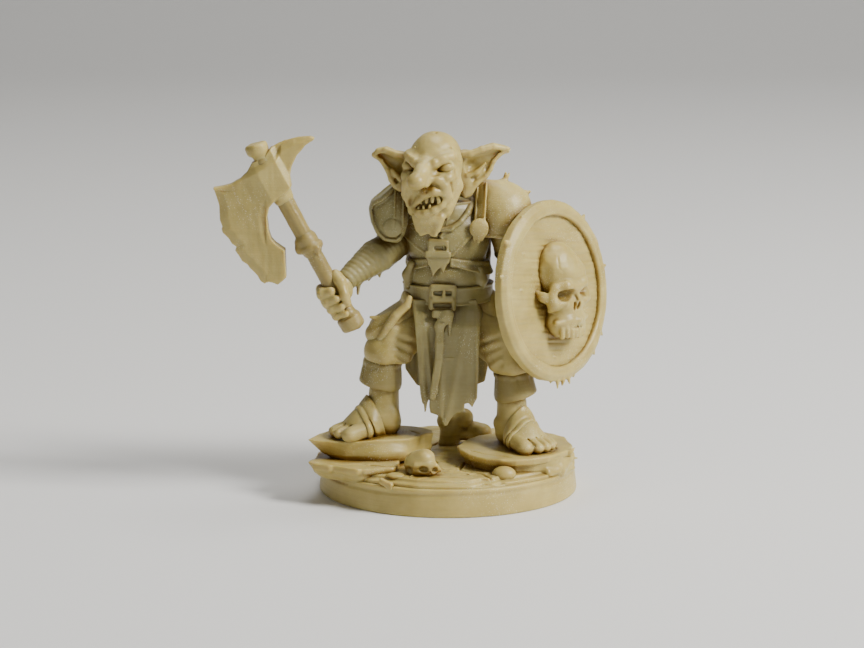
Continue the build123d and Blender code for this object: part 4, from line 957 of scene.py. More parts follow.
def sculpt_head():
    """Head, nose, jaw and beard as one skin, as they are one flesh."""
    yaw = turned(FACE_YAW)
    clay = Clay(face(3.2, 0, 32.2) - vec(5.2, 5.6, 0), face(0, 0, 45.7) + vec(4.8, 4.8, 0), FINE)
    skull_shape(clay)
    clay.add(ball(face(2.9, 0.3, 38.3), (1.85, 2.0, 1.5), yaw), 0.7)

    def line(points, radii, soft, side=1, cut=False):
        clay.line([face(ahead, left * side, z) for ahead, left, z in points], radii, soft, cut=cut)

    for side in (-1, 1):
        # deep-set slanting eyes under a heavy angry brow
        clay.cut(ball(face(3.6, 2.3 * side, 41.1), (0.8, 1.05, 0.58), yaw @ turned(0, 0, 18 * side)), 0.4)
        line([(4.2, 0.4, 41.25), (3.95, 1.2, 41.7), (3.25, 2.0, 42.15), (2.15, 2.65, 42.3),
              (1.0, 2.95, 41.8)], [0.5, 0.5, 0.48, 0.42, 0.3], 0.75, side)
        line([(4.3, 0.5, 41.4), (4.1, 1.25, 41.95), (3.4, 2.1, 42.4), (2.4, 2.75, 42.45)],
             [0.12, 0.17, 0.15, 0.1], 0.3, side)
        clay.add(ball(face(2.4, 2.2 * side, 41.05), (0.85, 1.2, 0.74), yaw), 0.2)
        line([(3.9, 1.0, 40.5), (3.55, 2.0, 40.3), (2.85, 2.9, 40.65), (2.3, 3.3, 41.15)],
             [0.18, 0.22, 0.2, 0.14], 0.25, side)
        line([(3.9, 1.15, 40.95), (3.55, 1.95, 41.6), (3.0, 2.65, 41.75), (2.3, 3.2, 41.35)],
             [0.14, 0.15, 0.15, 0.12], 0.2, side)
        line([(4.1, 0.75, 42.35), (3.4, 1.9, 43.0), (2.5, 2.7, 43.1)], [0.06, 0.1, 0.05], 0.6, side, cut=True)
        # cheeks, and the folds from the nostrils round the mouth
        clay.add(ball(face(2.9, 2.35 * side, 38.6), (1.05, 0.85, 1.6), yaw), 0.8)
        line([(4.65, 1.0, 39.85), (4.25, 1.7, 39.65), (3.7, 2.45, 38.8), (3.3, 2.7, 37.6), (3.1, 2.5, 36.3)],
             [0.26, 0.3, 0.3, 0.28, 0.22], 0.7, side)
        line([(5.0, 1.05, 39.15), (4.55, 1.6, 38.85), (4.15, 2.1, 38.1), (3.9, 2.35, 37.4)],
             [0.08, 0.12, 0.1, 0.05], 0.4, side, cut=True)
        line([(3.3, 2.95, 39.2), (2.85, 3.05, 38.1), (2.7, 2.9, 36.9)],
             [0.05, 0.1, 0.05], 0.5, side, cut=True)
        clay.cut(ball(face(1.2, 3.75 * side, 41.6), (1.2, 0.5, 0.9), yaw), 0.6)
    # a long hooked nose with a drooping bulb, bent a little to its right
    line([(3.5, 0, 41.9), (4.2, 0, 41.35), (5.3, -0.02, 40.75), (6.4, -0.12, 40.05)],
         [0.5, 0.68, 0.82, 0.9], 0.6)
    for side in (-1, 1):
        line([(3.7, 0.6, 40.5), (5.2, 0.6, 39.7)], [0.38, 0.38], 0.6, side)
        clay.add(ball(face(5.4, 0.7 * side - 0.1, 39.35), (0.8, 0.42, 0.42), yaw @ turned(0, 18)), 0.35)
        clay.cut(ball(face(5.85, 0.56 * side - 0.12, 38.85), (0.45, 0.2, 0.28), yaw), 0.15)
    clay.add(ball(face(6.8, -0.18, 39.72), (1.15, 1.12, 0.98), yaw), 0.5)
    line([(4.5, -0.7, 41.35), (4.7, 0, 41.5), (4.5, 0.7, 41.35)], [0.04, 0.07, 0.04], 0.3, cut=True)
    # the snarl: lips, an open mouth that rises to its left corner, chin
    clay.add(ball(face(2.9, 0.15, 34.9), (1.35, 1.75, 1.1), yaw), 0.6)
    line([(3.6, -1.5, 36.4), (4.2, -0.6, 37.15), (4.5, 0.3, 37.95), (4.5, 1.25, 38.3), (3.9, 2.2, 38.0)],
         [0.3, 0.36, 0.38, 0.36, 0.28], 0.5)
    line([(3.5, -1.6, 35.9), (4.1, -0.8, 35.6), (4.3, 0.2, 35.6), (4.2, 1.2, 36.0), (3.85, 2.05, 36.6),
          (3.55, 2.4, 37.3)], [0.36, 0.44, 0.46, 0.44, 0.38, 0.28], 0.4)
    for deep in (3.75, 4.3, 5.0):
        line([(deep, -1.0, 36.15), (deep, 0.0, 36.65), (deep, 1.0, 37.2), (deep - 0.1, 1.75, 37.35)],
             [0.16, 0.4, 0.48, 0.42], 0.15, cut=True)
    line([(5.4, 0.0, 38.7), (4.9, 0.45, 38.3)], [0.08, 0.1], 0.3, cut=True)
    # beard: matted strands with ragged ends
    strands = ((-1.25, 33.4), (-0.8, 32.95), (-0.35, 33.15), (0.15, 33.3), (0.65, 32.95), (1.1, 32.9),
               (1.5, 33.5))
    for i, (left, tip) in enumerate(strands):
        end = face(3.25 + 0.1 * (i % 2), left * 0.92 + 0.05, tip)
        clay.add(rod(face(3.2, left * 1.12, 35.0), end, 0.55, 0.3), 0.25)
    for left, z in ((-0.6, 33.6), (0.35, 33.9), (0.95, 33.5)):
        clay.cut(rod(face(3.75, left, z + 0.7), face(3.8, left + 0.05, z - 0.4), 0.05, 0.08), 0.2)
    # warts and a print scar on the crown
    for f, left, z in ((3.3, -1.5, 43.4), (3.2, 2.95, 40.3), (1.6, 2.6, 43.3)):
        clay.add(ball(face(f, left, z), 0.14), 0.25)
    clay.cut(ball(face(0.6, 0.25, 44.85), (0.2, 0.2, 0.25)), 0.1)
    clay.roughen(0.045, 1.0, 71).roughen(0.02, 0.35, 72)
    cast(clay, "head", "resin_skin", "head", "nose", "lower_jaw", "chin_beard")


def sculpt_teeth():
    """Crooked teeth, some down from the upper lip and some up from the lower one."""
    clay = Clay(face(4.2, 0, 35.2) - vec(2.8, 2.0, 0), face(4.0, 0, 38.9) + vec(2.8, 2.0, 0), FINE)
    for left, root, tip, r in ((0.3, 38.0, 36.95, 0.36), (1.0, 38.2, 37.05, 0.38), (1.6, 38.2, 37.35, 0.28),
                               (-0.4, 37.3, 36.75, 0.24), (1.75, 36.4, 37.5, 0.34),
                               (-0.75, 35.9, 36.35, 0.24), (-0.1, 35.9, 36.5, 0.26),
                               (0.7, 36.0, 36.65, 0.28)):
        ahead = 4.3 - 0.16 * (left - 0.4) ** 2
        clay.add(rod(face(ahead - 0.1, left, root), face(ahead + 0.05, left, tip), r, r * 0.5), 0.08)
    cast(clay, "lower_teeth", "resin_bone")


def sculpt_eyes():
    """The two eyeballs, mostly hidden by their lids."""
    yaw = turned(FACE_YAW)
    clay = Clay(face(2.9, 0, 40.4) - vec(3.4, 2.4, 0), face(2.9, 0, 42.4) + vec(3.4, 2.4, 0), FINE)
    for side in (-1, 1):
        slant = yaw @ turned(0, 0, 12 * side)
        clay.add(ball(face(3.06, 2.35 * side, 41.02), (0.66, 0.86, 0.56), slant), 0.05)
    cast(clay, "eyes", "resin_skin")


def sculpt_ear(name, outline, depth, scoops, ridge, rim, lobe):
    """A pointed ear: a cupped leaf with a rolled rim, a deep hollow and a hanging lobe. ridge and
    rim are each the points and the radii of a line.
    """
    pts = np.array(outline, np.float32)
    low = vec(pts[:, 0].min() - 0.6, -5.6, pts[:, 1].min() - 0.6)
    high = vec(pts[:, 0].max() + 0.6, 0.6, pts[:, 1].max() + 0.6)
    clay = Clay(low, high, FINE)

    def leaf(u, v):
        return 0.5 + 1.15 * smooth_step(0.1, 1.3, -outline_distance(outline, u, v))

    clay.add(sheet(outline, lambda u, v: depth(u, v) - 0.82 + leaf(u, v) / 2, leaf, round_off=0.2), 0.1)
    clay.add(lobe, 0.35)
    for shape in scoops:
        clay.cut(shape, 0.3)
    clay.add(sheet(outline, lambda u, v: depth(u, v) - 1.02 + leaf(u, v), 0.4, round_off=0.18), 0.1)
    clay.line(*ridge, 0.3)
    clay.line(*rim, 0.2)
    clay.roughen(0.035, 0.7, 75)
    cast(clay, name, "resin_skin")


def sculpt_ears():
    """The left ear stands out more than the right one."""
    left = [(0.6, 42.4), (1.8, 42.7), (2.9, 42.6), (3.8, 43.0), (5.4, 43.45), (6.8, 43.05), (7.5, 42.65),
            (7.35, 42.2), (6.3, 41.9), (5.7, 41.3), (5.4, 40.3), (4.95, 39.4), (4.0, 38.75), (3.2, 38.1),
            (2.7, 37.1), (2.0, 36.9), (1.4, 37.8), (0.8, 39.5)]
    sculpt_ear("left_ear", left, lambda u, v: -3.0 + 0.2 * (u - 2.0) + 0.05 * (v - 41),
               [rod((3.0, -3.9, 40.8), (6.7, -2.95, 42.35), 0.95, 0.3),
                ball((3.0, -3.9, 40.75), (1.0, 1.15, 0.72)),
                rod((2.6, -3.85, 40.0), (3.3, -3.7, 38.9), 0.42, 0.22),
                rod((4.2, -3.75, 41.0), (4.9, -3.4, 40.2), 0.5, 0.3)],
               ([(2.3, -3.75, 39.6), (3.4, -3.65, 39.9), (4.4, -3.35, 41.0)], [0.26, 0.3, 0.2]),
               ([(1.2, -3.95, 42.15), (2.6, -3.95, 42.25), (4.0, -3.7, 42.75), (5.5, -3.3, 43.05),
                 (7.1, -2.8, 42.65), (6.1, -3.0, 41.95), (5.45, -3.2, 41.2), (5.1, -3.3, 40.3),
                 (4.5, -3.4, 39.4), (3.4, -3.55, 38.6), (2.7, -3.6, 37.7)],
                [0.42, 0.42, 0.4, 0.38, 0.28, 0.22, 0.24, 0.26, 0.28, 0.3, 0.34]),
               ball((2.25, -3.35, 37.9), (0.85, 0.7, 1.0)))
    right = [(-4.2, 42.2), (-5.5, 42.5), (-6.4, 42.6), (-7.4, 43.0), (-8.5, 42.85), (-9.25, 42.1),
             (-9.1, 41.6), (-8.3, 41.3), (-7.6, 40.1), (-7.15, 38.8), (-6.6, 38.0), (-5.9, 37.6),
             (-5.2, 37.9), (-4.8, 39.0), (-4.2, 40.0)]
    sculpt_ear("right_ear", right, lambda u, v: -3.0 - 0.22 * (u + 5.0) + 0.05 * (v - 41),
               [rod((-5.9, -3.75, 40.6), (-8.5, -2.9, 42.0), 0.9, 0.35),
                ball((-5.6, -3.8, 40.4), (0.85, 1.1, 1.1)),
                rod((-5.7, -3.7, 39.6), (-6.4, -3.5, 38.8), 0.5, 0.3)],
               ([(-5.0, -3.75, 39.4), (-5.9, -3.6, 39.2), (-6.8, -3.3, 40.2)], [0.24, 0.26, 0.16]),
               ([(-5.0, -3.95, 42.0), (-6.4, -3.7, 42.2), (-7.6, -3.4, 42.6), (-8.5, -3.1, 42.5),
                 (-9.0, -2.9, 41.95), (-8.1, -3.1, 41.3), (-7.4, -3.3, 40.2), (-6.95, -3.35, 39.0),
                 (-6.3, -3.4, 38.2)], [0.4, 0.38, 0.36, 0.32, 0.26, 0.26, 0.28, 0.28, 0.3]),
               ball((-5.9, -3.2, 38.3), (0.7, 0.6, 0.8)))


# ------------------------------------------------------------------------------ shoulder plates and arms
RIGHT_WRIST, LEFT_WRIST = (-12.3, -5.3, 27.1), (10.0, 0.0, 25.6)


def sculpt_right_plate():
    """A cupped plate over the right shoulder: its outline has a rolled edge with a groove inside it."""
    right = [(-5.2, 38.3), (-6.7, 38.0), (-8.2, 36.7), (-9.35, 36.0), (-9.6, 35.2), (-9.3, 33.8),
             (-8.7, 32.6), (-7.8, 31.7), (-6.2, 31.5), (-5.4, 32.2), (-4.9, 34.0), (-4.8, 36.5)]
    clay = Clay((-10.6, -5.6, 30.8), (-4.2, 3.4, 39.0), FINE)
    clay.add(ball((-6.8, -1.0, 34.2), (2.85, 3.5, 4.4)), 0.1)
    clay.add(rod((-6.4, -1.4, 37.0), (-5.2, -1.6, 37.7), 1.2, 0.9), 0.8)
    clay.add(ball((-7.0, -2.0, 33.2), (2.5, 2.55, 2.3)), 0.7)
    shell = clay.d.copy()
    x, y, z = clay.grid()
    edge = outline_distance(right, x, z) + 0 * y
    clay.d = smooth_max(np.maximum(shell, -np.maximum(shell + 0.6, z - 33.6)), edge, 0.15)
    bead = np.sqrt((edge + 0.1) ** 2 + (shell - 0.02) ** 2) - 0.27
    clay.d = smooth_min(clay.d, np.maximum(bead, x + 5.7 + 0 * bead), 0.18)
    groove = np.sqrt((edge + 0.62) ** 2 + shell**2) - 0.1
    clay.d = -smooth_min(-clay.d, groove, 0.22)
    clay.roughen(0.05, 1.2, 81).roughen(0.02, 0.4, 810)
    cast(clay, "right_shoulder_plate", "resin_armour")


def sculpt_left_plate():
    """The round plate over the left shoulder, with its lower edge rolled and two spikes."""
    clay = Clay((2.0, -5.2, 31.0), (11.2, 3.8, 40.2), FINE)
    clay.add(ball((6.5, -0.7, 34.3), (3.8, 3.7, 4.2)), 0.1)
    clay.add(rod((4.4, -1.2, 37.4), (8.4, -0.4, 35.9), 1.3, 1.1), 1.0)
    shell = clay.d.copy()
    clay.d = np.maximum(clay.d, -(shell + 0.6))
    x, y, z = clay.grid()
    lower = z - 31.9 + 0 * x - 0.06 * (x - 6.5) ** 2 * (x > 6.5)
    clay.d = smooth_max(clay.d, -(lower + 0 * y), 0.15)
    clay.d = smooth_min(clay.d, np.sqrt((lower - 0.2) ** 2 + shell**2) - 0.2, 0.15)
    for foot, tip in (((6.5, -0.5, 38.0), (7.45, -0.4, 39.35)), ((8.6, -0.4, 36.6), (9.95, -0.4, 37.1))):
        clay.add(rod(foot, tip, 0.5, 0.14), 0.35)
        barb = np.array(tip) - vec(0.5, 0, 0.35), np.array(tip) - vec(0.45, 0.25, -0.1)
        clay.add(rod(*barb, 0.22, 0.12), 0.15)
    clay.roughen(0.05, 1.2, 83).roughen(0.02, 0.4, 830)
    cast(clay, "left_shoulder_plate", "resin_skin")


def sculpt_lappet(clay, middle, lean, fade_z, stud, groove):
    """Cuts the masses in clay down to the lappet on the front of a shoulder plate: a strap with raised
    edges along x = middle, and a round stud. stud is a centre and radii, groove is the y, the radius
    and the tube of the ring that is cut round it.
    """
    body = clay.d.copy()
    x, y, z = clay.grid()
    across = np.abs(x - middle - lean * (z - 34)) - 0.66 + 0 * y
    clay.d = smooth_max(smooth_max(body, across, 0.2), 33.0 - z, 0.1)
    clay.d = np.maximum(clay.d, -(body + 0.5))
    edge = np.sqrt((across + 0.1) ** 2 + (body - 0.05) ** 2 + 0 * z) - 0.15
    clay.d = smooth_min(clay.d, edge + 3 * np.maximum(fade_z - z, 0), 0.1)
    (stud_x, _, stud_z), (groove_y, *groove_size) = stud[0], groove
    clay.add(ball(*stud), 0.12)
    clay.cut(ring((stud_x, groove_y, stud_z), (0, -1, 0), *groove_size), 0.15)


def sculpt_right_lappet():
    """The strap from the right shoulder plate down the front, ending in a round stud."""
    clay = Clay((-8.7, -6.4, 31.0), (-4.4, -2.4, 38.6), FINE)
    clay.add(ball((-6.8, -1.0, 34.2), (3.05, 3.7, 4.6)), 0.1)
    clay.add(ball((-7.0, -2.0, 33.2), (2.7, 2.75, 2.5)), 0.7)
    sculpt_lappet(clay, -6.0, 0.03, 33.4, ((-6.75, -4.6, 33.3), (1.2, 0.42, 1.2)), (-4.85, 1.2, 0.09))
    clay.keep(half_space((0, -2.7, 0), (0, 1, 0)), 0.05)
    clay.roughen(0.035, 0.6, 82)
    cast(clay, "right_plate_lappet", "resin_armour")


def sculpt_left_lappet():
    """The strap from the left shoulder plate, ending in a stud with a fringe under it."""
    clay = Clay((2.2, -6.4, 30.6), (6.0, -2.2, 39.2), FINE)
    clay.add(ball((6.5, -0.7, 34.3), (4.05, 3.95, 4.45)), 0.1)
    clay.add(rod((4.4, -1.2, 37.4), (8.4, -0.4, 35.9), 1.5, 1.3), 1.0)
    clay.add(ball((4.6, -2.2, 33.4), (1.9, 2.35, 2.4)), 0.9)
    sculpt_lappet(clay, 3.75, 0.06, 33.6, ((3.72, -4.6, 33.2), (1.15, 0.45, 1.3)), (-4.9, 1.16, 0.08))
    for x, low in ((3.2, 31.75), (3.7, 31.5), (4.1, 31.75)):  # the fringe under the stud
        clay.add(rod((x, -4.5, 32.1), (x - 0.05, -4.5, low), 0.26, 0.14), 0.15)
    clay.keep(half_space((0, -2.4, 0), (0, 1, 0)), 0.05)
    clay.roughen(0.035, 0.6, 84)
    cast(clay, "left_plate_lappet", "resin_skin")


def bandage(clay, points, radii, pitch=0.62, rise=0.13, lean=0.5):
    """Winds a strip of cloth round an arm: overlapping turns with soft edges."""
    for a, b, r0, r1 in zip(points, points[1:], radii, radii[1:]):
        a, b = vec(*a), vec(*b)
        n = unit(b - a)
        side = unit(np.cross(n, vec(0.2, 1, 0.1)))
        tilted = unit(n + side * lean * 0.4)
        turns = int(np.linalg.norm(b - a) / pitch)
        for i in range(turns + 1):
            t = i / max(1, turns)
            r = r0 + (r1 - r0) * t
            clay.add(ring(a + (b - a) * t, tilted, r - 0.12, rise + 0.2, 1.5), 0.12)


def sculpt_right_upper_arm():
    """The right upper arm, mostly under its plate."""
    clay = Clay((-9.6, -3.0, 28.6), (-4.2, 3.2, 36.6), MEDIUM)
    clay.add(rod((-6.2, -0.4, 34.4), (-7.0, 0.1, 31.0), 2.0, 1.9), 0.3)
    clay.roughen(0.05, 0.9, 85)
    cast(clay, "right_upper_arm", "resin_skin")


def sculpt_left_upper_arm():
    """The left upper arm, mostly under its plate."""
    clay = Clay((3.8, -3.0, 28.0), (10.2, 3.8, 37.0), MEDIUM)
    clay.add(rod((6.2, -0.4, 34.6), (7.4, 0.7, 30.4), 2.1, 1.9), 0.3)
    clay.roughen(0.05, 0.9, 87)
    cast(clay, "left_upper_arm", "resin_skin")


def sculpt_right_forearm():
    """The bandaged forearm that swells below the elbow, with three loose ends of cloth."""
    elbow, belly, wrist = (-6.4, -0.2, 30.7), (-8.7, -2.4, 29.5), RIGHT_WRIST
    clay = Clay((-14.2, -7.6, 24.4), (-4.0, 2.4, 33.4), FINE)
    clay.add(rod(elbow, belly, 1.75, 1.95), 0.3)
    clay.add(rod(belly, wrist, 1.95, 1.15), 0.5)
    bandage(clay, [elbow, belly, wrist], [1.75, 1.95, 1.15])
    for top, tip in (((-10.9, -4.5, 26.5), (-11.0, -4.7, 25.2)), ((-8.4, -2.8, 27.7), (-8.4, -2.9, 27.0)),
                     ((-9.6, -3.6, 27.2), (-9.7, -3.6, 26.7))):
        clay.add(rod(top, tip, 0.32, 0.16), 0.3)
    clay.roughen(0.05, 0.55, 86)
    cast(clay, "right_forearm_wrap", "resin_cloth")


def sculpt_left_forearm():
    """The bandaged forearm behind the shield."""
    clay = Clay((5.0, -3.2, 23.4), (12.4, 3.8, 32.4), MEDIUM)
    points, radii = [(7.3, 0.9, 30.0), (8.5, 0.8, 27.8), LEFT_WRIST], [1.75, 1.8, 1.25]
    clay.line(points, radii, 0.4)
    bandage(clay, points, radii, 0.7)
    clay.roughen(0.05, 0.55, 88)
    cast(clay, "left_forearm", "resin_cloth")


# ------------------------------------------------------------------------------ axe
HAFT_FOOT, HAFT_HEAD = vec(-11.9, -6.2, 22.2), vec(-22.4, -6.6, 42.1)
ALONG = unit(HAFT_HEAD - HAFT_FOOT)
HAFT_SIDE = unit(np.cross(ALONG, vec(0, 1, 0)))  # towards the blade's edge (-X)
HAFT_FRONT = np.cross(HAFT_SIDE, ALONG)


def on_haft(share, side=0.0, front=0.0):
    """A point at a share of the haft's length, beside its middle line."""
    return HAFT_FOOT + (HAFT_HEAD - HAFT_FOOT) * share + HAFT_SIDE * side + HAFT_FRONT * front


def sculpt_haft():
    """The haft, with grooves along the grain between the collar and the head."""
    clay = Clay((-23.8, -8.4, 21.0), (-10.4, -4.6, 42.8), FINE)
    clay.add(rod(on_haft(0.02), on_haft(0.45), 1.0, 1.0), 0.1)
    clay.add(rod(on_haft(0.45), on_haft(0.98), 1.04, 1.1), 0.1)
    for i in range(10):
        angle = i * 0.63
        off = HAFT_SIDE * math.cos(angle) + HAFT_FRONT * math.sin(angle)
        clay.cut(rod(on_haft(0.5) + off * 1.12, on_haft(0.8) + off * 1.16, 0.07, 0.03), 0.15)
    clay.roughen(0.04, 0.8, 91)
    cast(clay, "axe_haft", "resin_weapon")


def sculpt_axe_head():
    """The bearded blade with its nicks, the socket and the spike behind, as one sheet."""
    blade = [(-28.3, 38.6), (-27.2, 38.75), (-26.1, 39.05), (-25.0, 39.7), (-24.2, 40.5), (-23.6, 41.6),
             (-22.2, 42.2), (-21.3, 43.4), (-20.5, 43.85), (-19.6, 44.3), (-17.9, 44.7), (-16.5, 44.8),
             (-16.05, 44.55), (-16.2, 44.3), (-17.2, 43.7), (-18.2, 42.5), (-18.8, 41.2), (-19.05, 40.0),
             (-18.85, 38.8), (-19.4, 38.1), (-20.7, 37.2), (-21.5, 36.3), (-21.8, 35.0), (-21.65, 33.4),
             (-21.3, 32.4), (-20.8, 31.8), (-19.7, 31.0), (-19.6, 27.7), (-20.6, 26.8), (-21.2, 27.05),
             (-21.7, 27.1), (-22.2, 26.8), (-22.7, 27.1), (-23.1, 27.8), (-24.0, 28.8), (-24.25, 29.2),
             (-24.9, 29.6), (-25.7, 30.9), (-25.55, 31.35), (-26.1, 31.7), (-26.5, 32.4), (-27.2, 33.1),
             (-27.3, 33.5), (-27.2, 33.8), (-27.5, 34.6), (-27.6, 36.4)]
    top_edge = [(-28.1, 38.5), (-25.9, 38.9), (-24.3, 39.8), (-22.9, 40.5), (-21.8, 41.2), (-20.7, 41.8),
                (-20.2, 42.7), (-20.1, 42.95), (-18.6, 43.8), (-16.6, 44.4)]

    def top_line(u):
        return np.interp(u, [p[0] for p in top_edge], [p[1] for p in top_edge])

    def thickness(u, v):
        """A faceted socket along the haft, thinning to the blade on one side and the spike on the other."""
        to_blade = (u - HAFT_HEAD[0]) * HAFT_SIDE[0] + (v - HAFT_HEAD[2]) * HAFT_SIDE[2]
        thick = np.interp(to_blade, [-6, -2.1, -1.4, 1.2, 3.3, 5.5, 8], [1.2, 1.75, 3.0, 3.1, 2.0, 1.4, 1.1])
        thick = thick - 1.5 * np.clip(v - top_line(u), 0, 0.8)
        edge = np.clip(1 + outline_distance(blade, u, v) / 1.1, 0, 1) * (u < -21.9) * (v < 38.3)
        return np.maximum(thick - 0.8 * edge**1.3, 0.3)

    clay = Clay((-29.0, -8.8, 26.2), (-15.4, -4.4, 45.4), FINE)
    clay.add(sheet(blade, -6.6, thickness, round_off=0.12), 0.1)
    clay.add(rod(on_haft(0.76), on_haft(0.8), 1.25, 1.4), 0.3)
    clay.roughen(0.05, 1.6, 92).roughen(0.025, 0.5, 93, (0.6, 1, 3))
    cast(clay, "axe_head", "resin_weapon")


def sculpt_axe_fittings():
    """The knob on top, the collar below the head, and the pommel."""
    clay = Clay((-25.4, -8.8, 40.2), (-20.0, -4.4, 45.0), FINE)
    clay.add(rod(on_haft(0.96), on_haft(1.03), 1.0, 1.0), 0.2)
    clay.add(disc(on_haft(1.055, 0.0), unit(ALONG - HAFT_SIDE * 0.2), 1.4, 0.72, 0.5), 0.3)
    clay.roughen(0.06, 0.9, 94).roughen(0.03, 0.4, 940)
    cast(clay, "axe_top_knob", "resin_weapon")

    clay = Clay((-18.8, -8.6, 28.6), (-13.6, -4.2, 34.6), FINE)
    clay.add(rod(on_haft(0.44), on_haft(0.505), 1.24, 1.26), 0.1)
    clay.add(disc(on_haft(0.455, 0.0), unit(ALONG - HAFT_SIDE * 0.12), 1.62, 0.42, 0.32), 0.3)
    clay.add(disc(on_haft(0.50, 0.1), ALONG, 1.36, 0.5, 0.3), 0.3)
    clay.add(ball(on_haft(0.475, 1.3, -0.2), (0.5, 0.6, 0.7)), 0.3)
    # two torn ends hanging from the collar
    for root, drop, tip in ((on_haft(0.435, -0.4, 1.0), 1.15, 0.14), (on_haft(0.44, -0.8, -1.3), 1.0, 0.13)):
        clay.add(rod(root, root + vec(0.15, 0, -drop), 0.36, tip), 0.25)
    clay.roughen(0.05, 0.6, 95)
    cast(clay, "axe_collar", "resin_weapon")

    clay = Clay((-14.8, -8.6, 19.8), (-9.2, -3.8, 25.2), FINE)
    clay.add(rod(on_haft(0.07), on_haft(0.0), 1.1, 1.2), 0.2)
    clay.add(disc(on_haft(-0.008), ALONG, 1.52, 0.95, 0.5), 0.4)
    clay.cut(rod(on_haft(0.03, 1.5, -1.3), on_haft(0.03, -1.5, -1.3), 0.1), 0.25)
    clay.add(ball(on_haft(-0.045, -0.5), 0.35), 0.25)
    clay.roughen(0.07, 0.8, 96).roughen(0.03, 0.4, 960)
    cast(clay, "axe_pommel", "resin_weapon")


def sculpt_right_hand():
    """The fist: the palm is on the far side of the haft; thumb and fingers close over its front."""
    clay = Clay((-17.6, -9.4, 20.8), (-10.4, -3.4, 30.4), FINE)
    grip = 0.15  # share of the haft at the middle of the fist
    clay.add(ball(on_haft(grip, 0.5, 0.5), (1.7, 1.4, 2.0), turned(0, -28)), 0.3)
    clay.add(ball(on_haft(grip + 0.03, -0.9, 0.4), (1.3, 1.3, 1.8), turned(0, -28)), 0.4)
    clay.add(rod(RIGHT_WRIST, on_haft(grip + 0.05, -0.6, 0.4), 1.1, 1.25), 0.5)
    for i, r in enumerate((0.66, 0.66, 0.6, 0.5)):
        s = grip + 0.06 - 0.048 * i
        knuckle = on_haft(s + 0.01, 1.4, 0.5)
        bend = on_haft(s - 0.005, 1.35 - 0.08 * i, -0.75)
        tip = on_haft(s - 0.012, 0.2 - 0.1 * i, -1.45)
        clay.line([knuckle, bend, tip], [r, r * 1.05, r * 0.85], 0.12)
        clay.add(ball(bend + vec(0, -0.1, 0), r * 1.14), 0.15)
    clay.line([on_haft(grip + 0.1, -1.0, 0.1), on_haft(grip + 0.07, -1.25, -0.8),
               on_haft(grip - 0.0, -1.0, -1.3), on_haft(grip - 0.05, -0.85, -1.3)], [0.8, 0.72, 0.62, 0.5],
              0.2)
    clay.roughen(0.05, 0.5, 97)
    cast(clay, "right_hand", "resin_skin")


# ------------------------------------------------------------------------------ shield
SHIELD_C = vec(13.0, -2.2, 25.1)
OUT = unit(vec(0.79, -0.60, 0.13))
ACROSS = vec(0.6, 0.8, 0)
ACROSS = unit(ACROSS - OUT * float(ACROSS @ OUT))
UP = np.cross(OUT, ACROSS)
UP = UP if UP[2] > 0 else -UP
SHIELD_TURN = np.stack([ACROSS, UP, OUT], 1)
SHIELD_R = 11.1
LAYER_SLOPE = 0.198  # the print layers rise towards the back


def shield(across, up, out=0.0):
    """A point given by the shield's own directions."""
    return SHIELD_C + ACROSS * across + UP * up + OUT * out


def shield_clay():
    """Clay round the whole shield, and each cell's place across it, in front of it and from its middle."""
    reach = vec(*(np.abs(SHIELD_TURN) @ vec(SHIELD_R + 1.0, SHIELD_R + 1.6, 1.6)))
    clay = Clay(SHIELD_C - reach, SHIELD_C + reach, MEDIUM)
    x, y, z = clay.grid()
    p = (x - SHIELD_C[0], y - SHIELD_C[1], z - SHIELD_C[2])
    a, u, o = (sum(p[i] * axis[i] for i in range(3)) for axis in (ACROSS, UP, OUT))
    return clay, a, o, np.sqrt(a * a + u * u)


def sculpt_rim():
    """The crowned rim, with nicks of resin round it and torn support stubs under it."""
    clay, _, o, r = shield_clay()
    inner = SHIELD_R - 1.85
    rim = smooth_max(r - SHIELD_R, inner - r, 0.08)
    crown = 0.56 - 0.42 * smooth_step(SHIELD_R - 0.8, SHIELD_R,
                                      r) - 0.14 * (1 - smooth_step(inner, inner + 0.35, r))
    crown = crown - 0.07 * np.exp(-((r - inner - 0.55) / 0.12) ** 2)
    clay.d = smooth_max(rim, np.maximum(o - crown, -o - 1.0), 0.16).astype(np.float32)
    for angle_deg, size in ((141, 0.36), (47, 0.26), (8, 0.3), (-37, 0.28), (-52, 0.22), (163, 0.2),
                            (118, 0.16)):
        t = math.radians(angle_deg)
        foot = shield(SHIELD_R * math.cos(t), SHIELD_R * math.sin(t), 0.0)
        away = ACROSS * math.cos(t) + UP * math.sin(t)
        clay.add(rod(foot, foot + away * size * 1.2, size, size * 0.6), 0.2)
    stubs = ((-1.9, -0.5, 0.35), (-1.4, 0.1, 1.0), (-0.9, -0.2, 0.45), (-0.3, 0.2, 0.65),
             (0.3, -0.4, 0.6), (0.9, 0.15, 0.7), (1.4, -0.1, 0.35), (2.2, 0.0, 0.3))
    for i, (across, out, length) in enumerate(stubs):
        foot = shield(across, -math.sqrt(SHIELD_R**2 - across**2) + 0.1, out)
        clay.add(rod(foot, foot + vec(0.12 * (i % 3 - 1), 0, -length), 0.26, 0.12), 0.15)
    clay.roughen(0.05, 1.6, 101).roughen(0.03, 0.5, 102)
    cast(clay, "shield_rim", "resin_weapon")


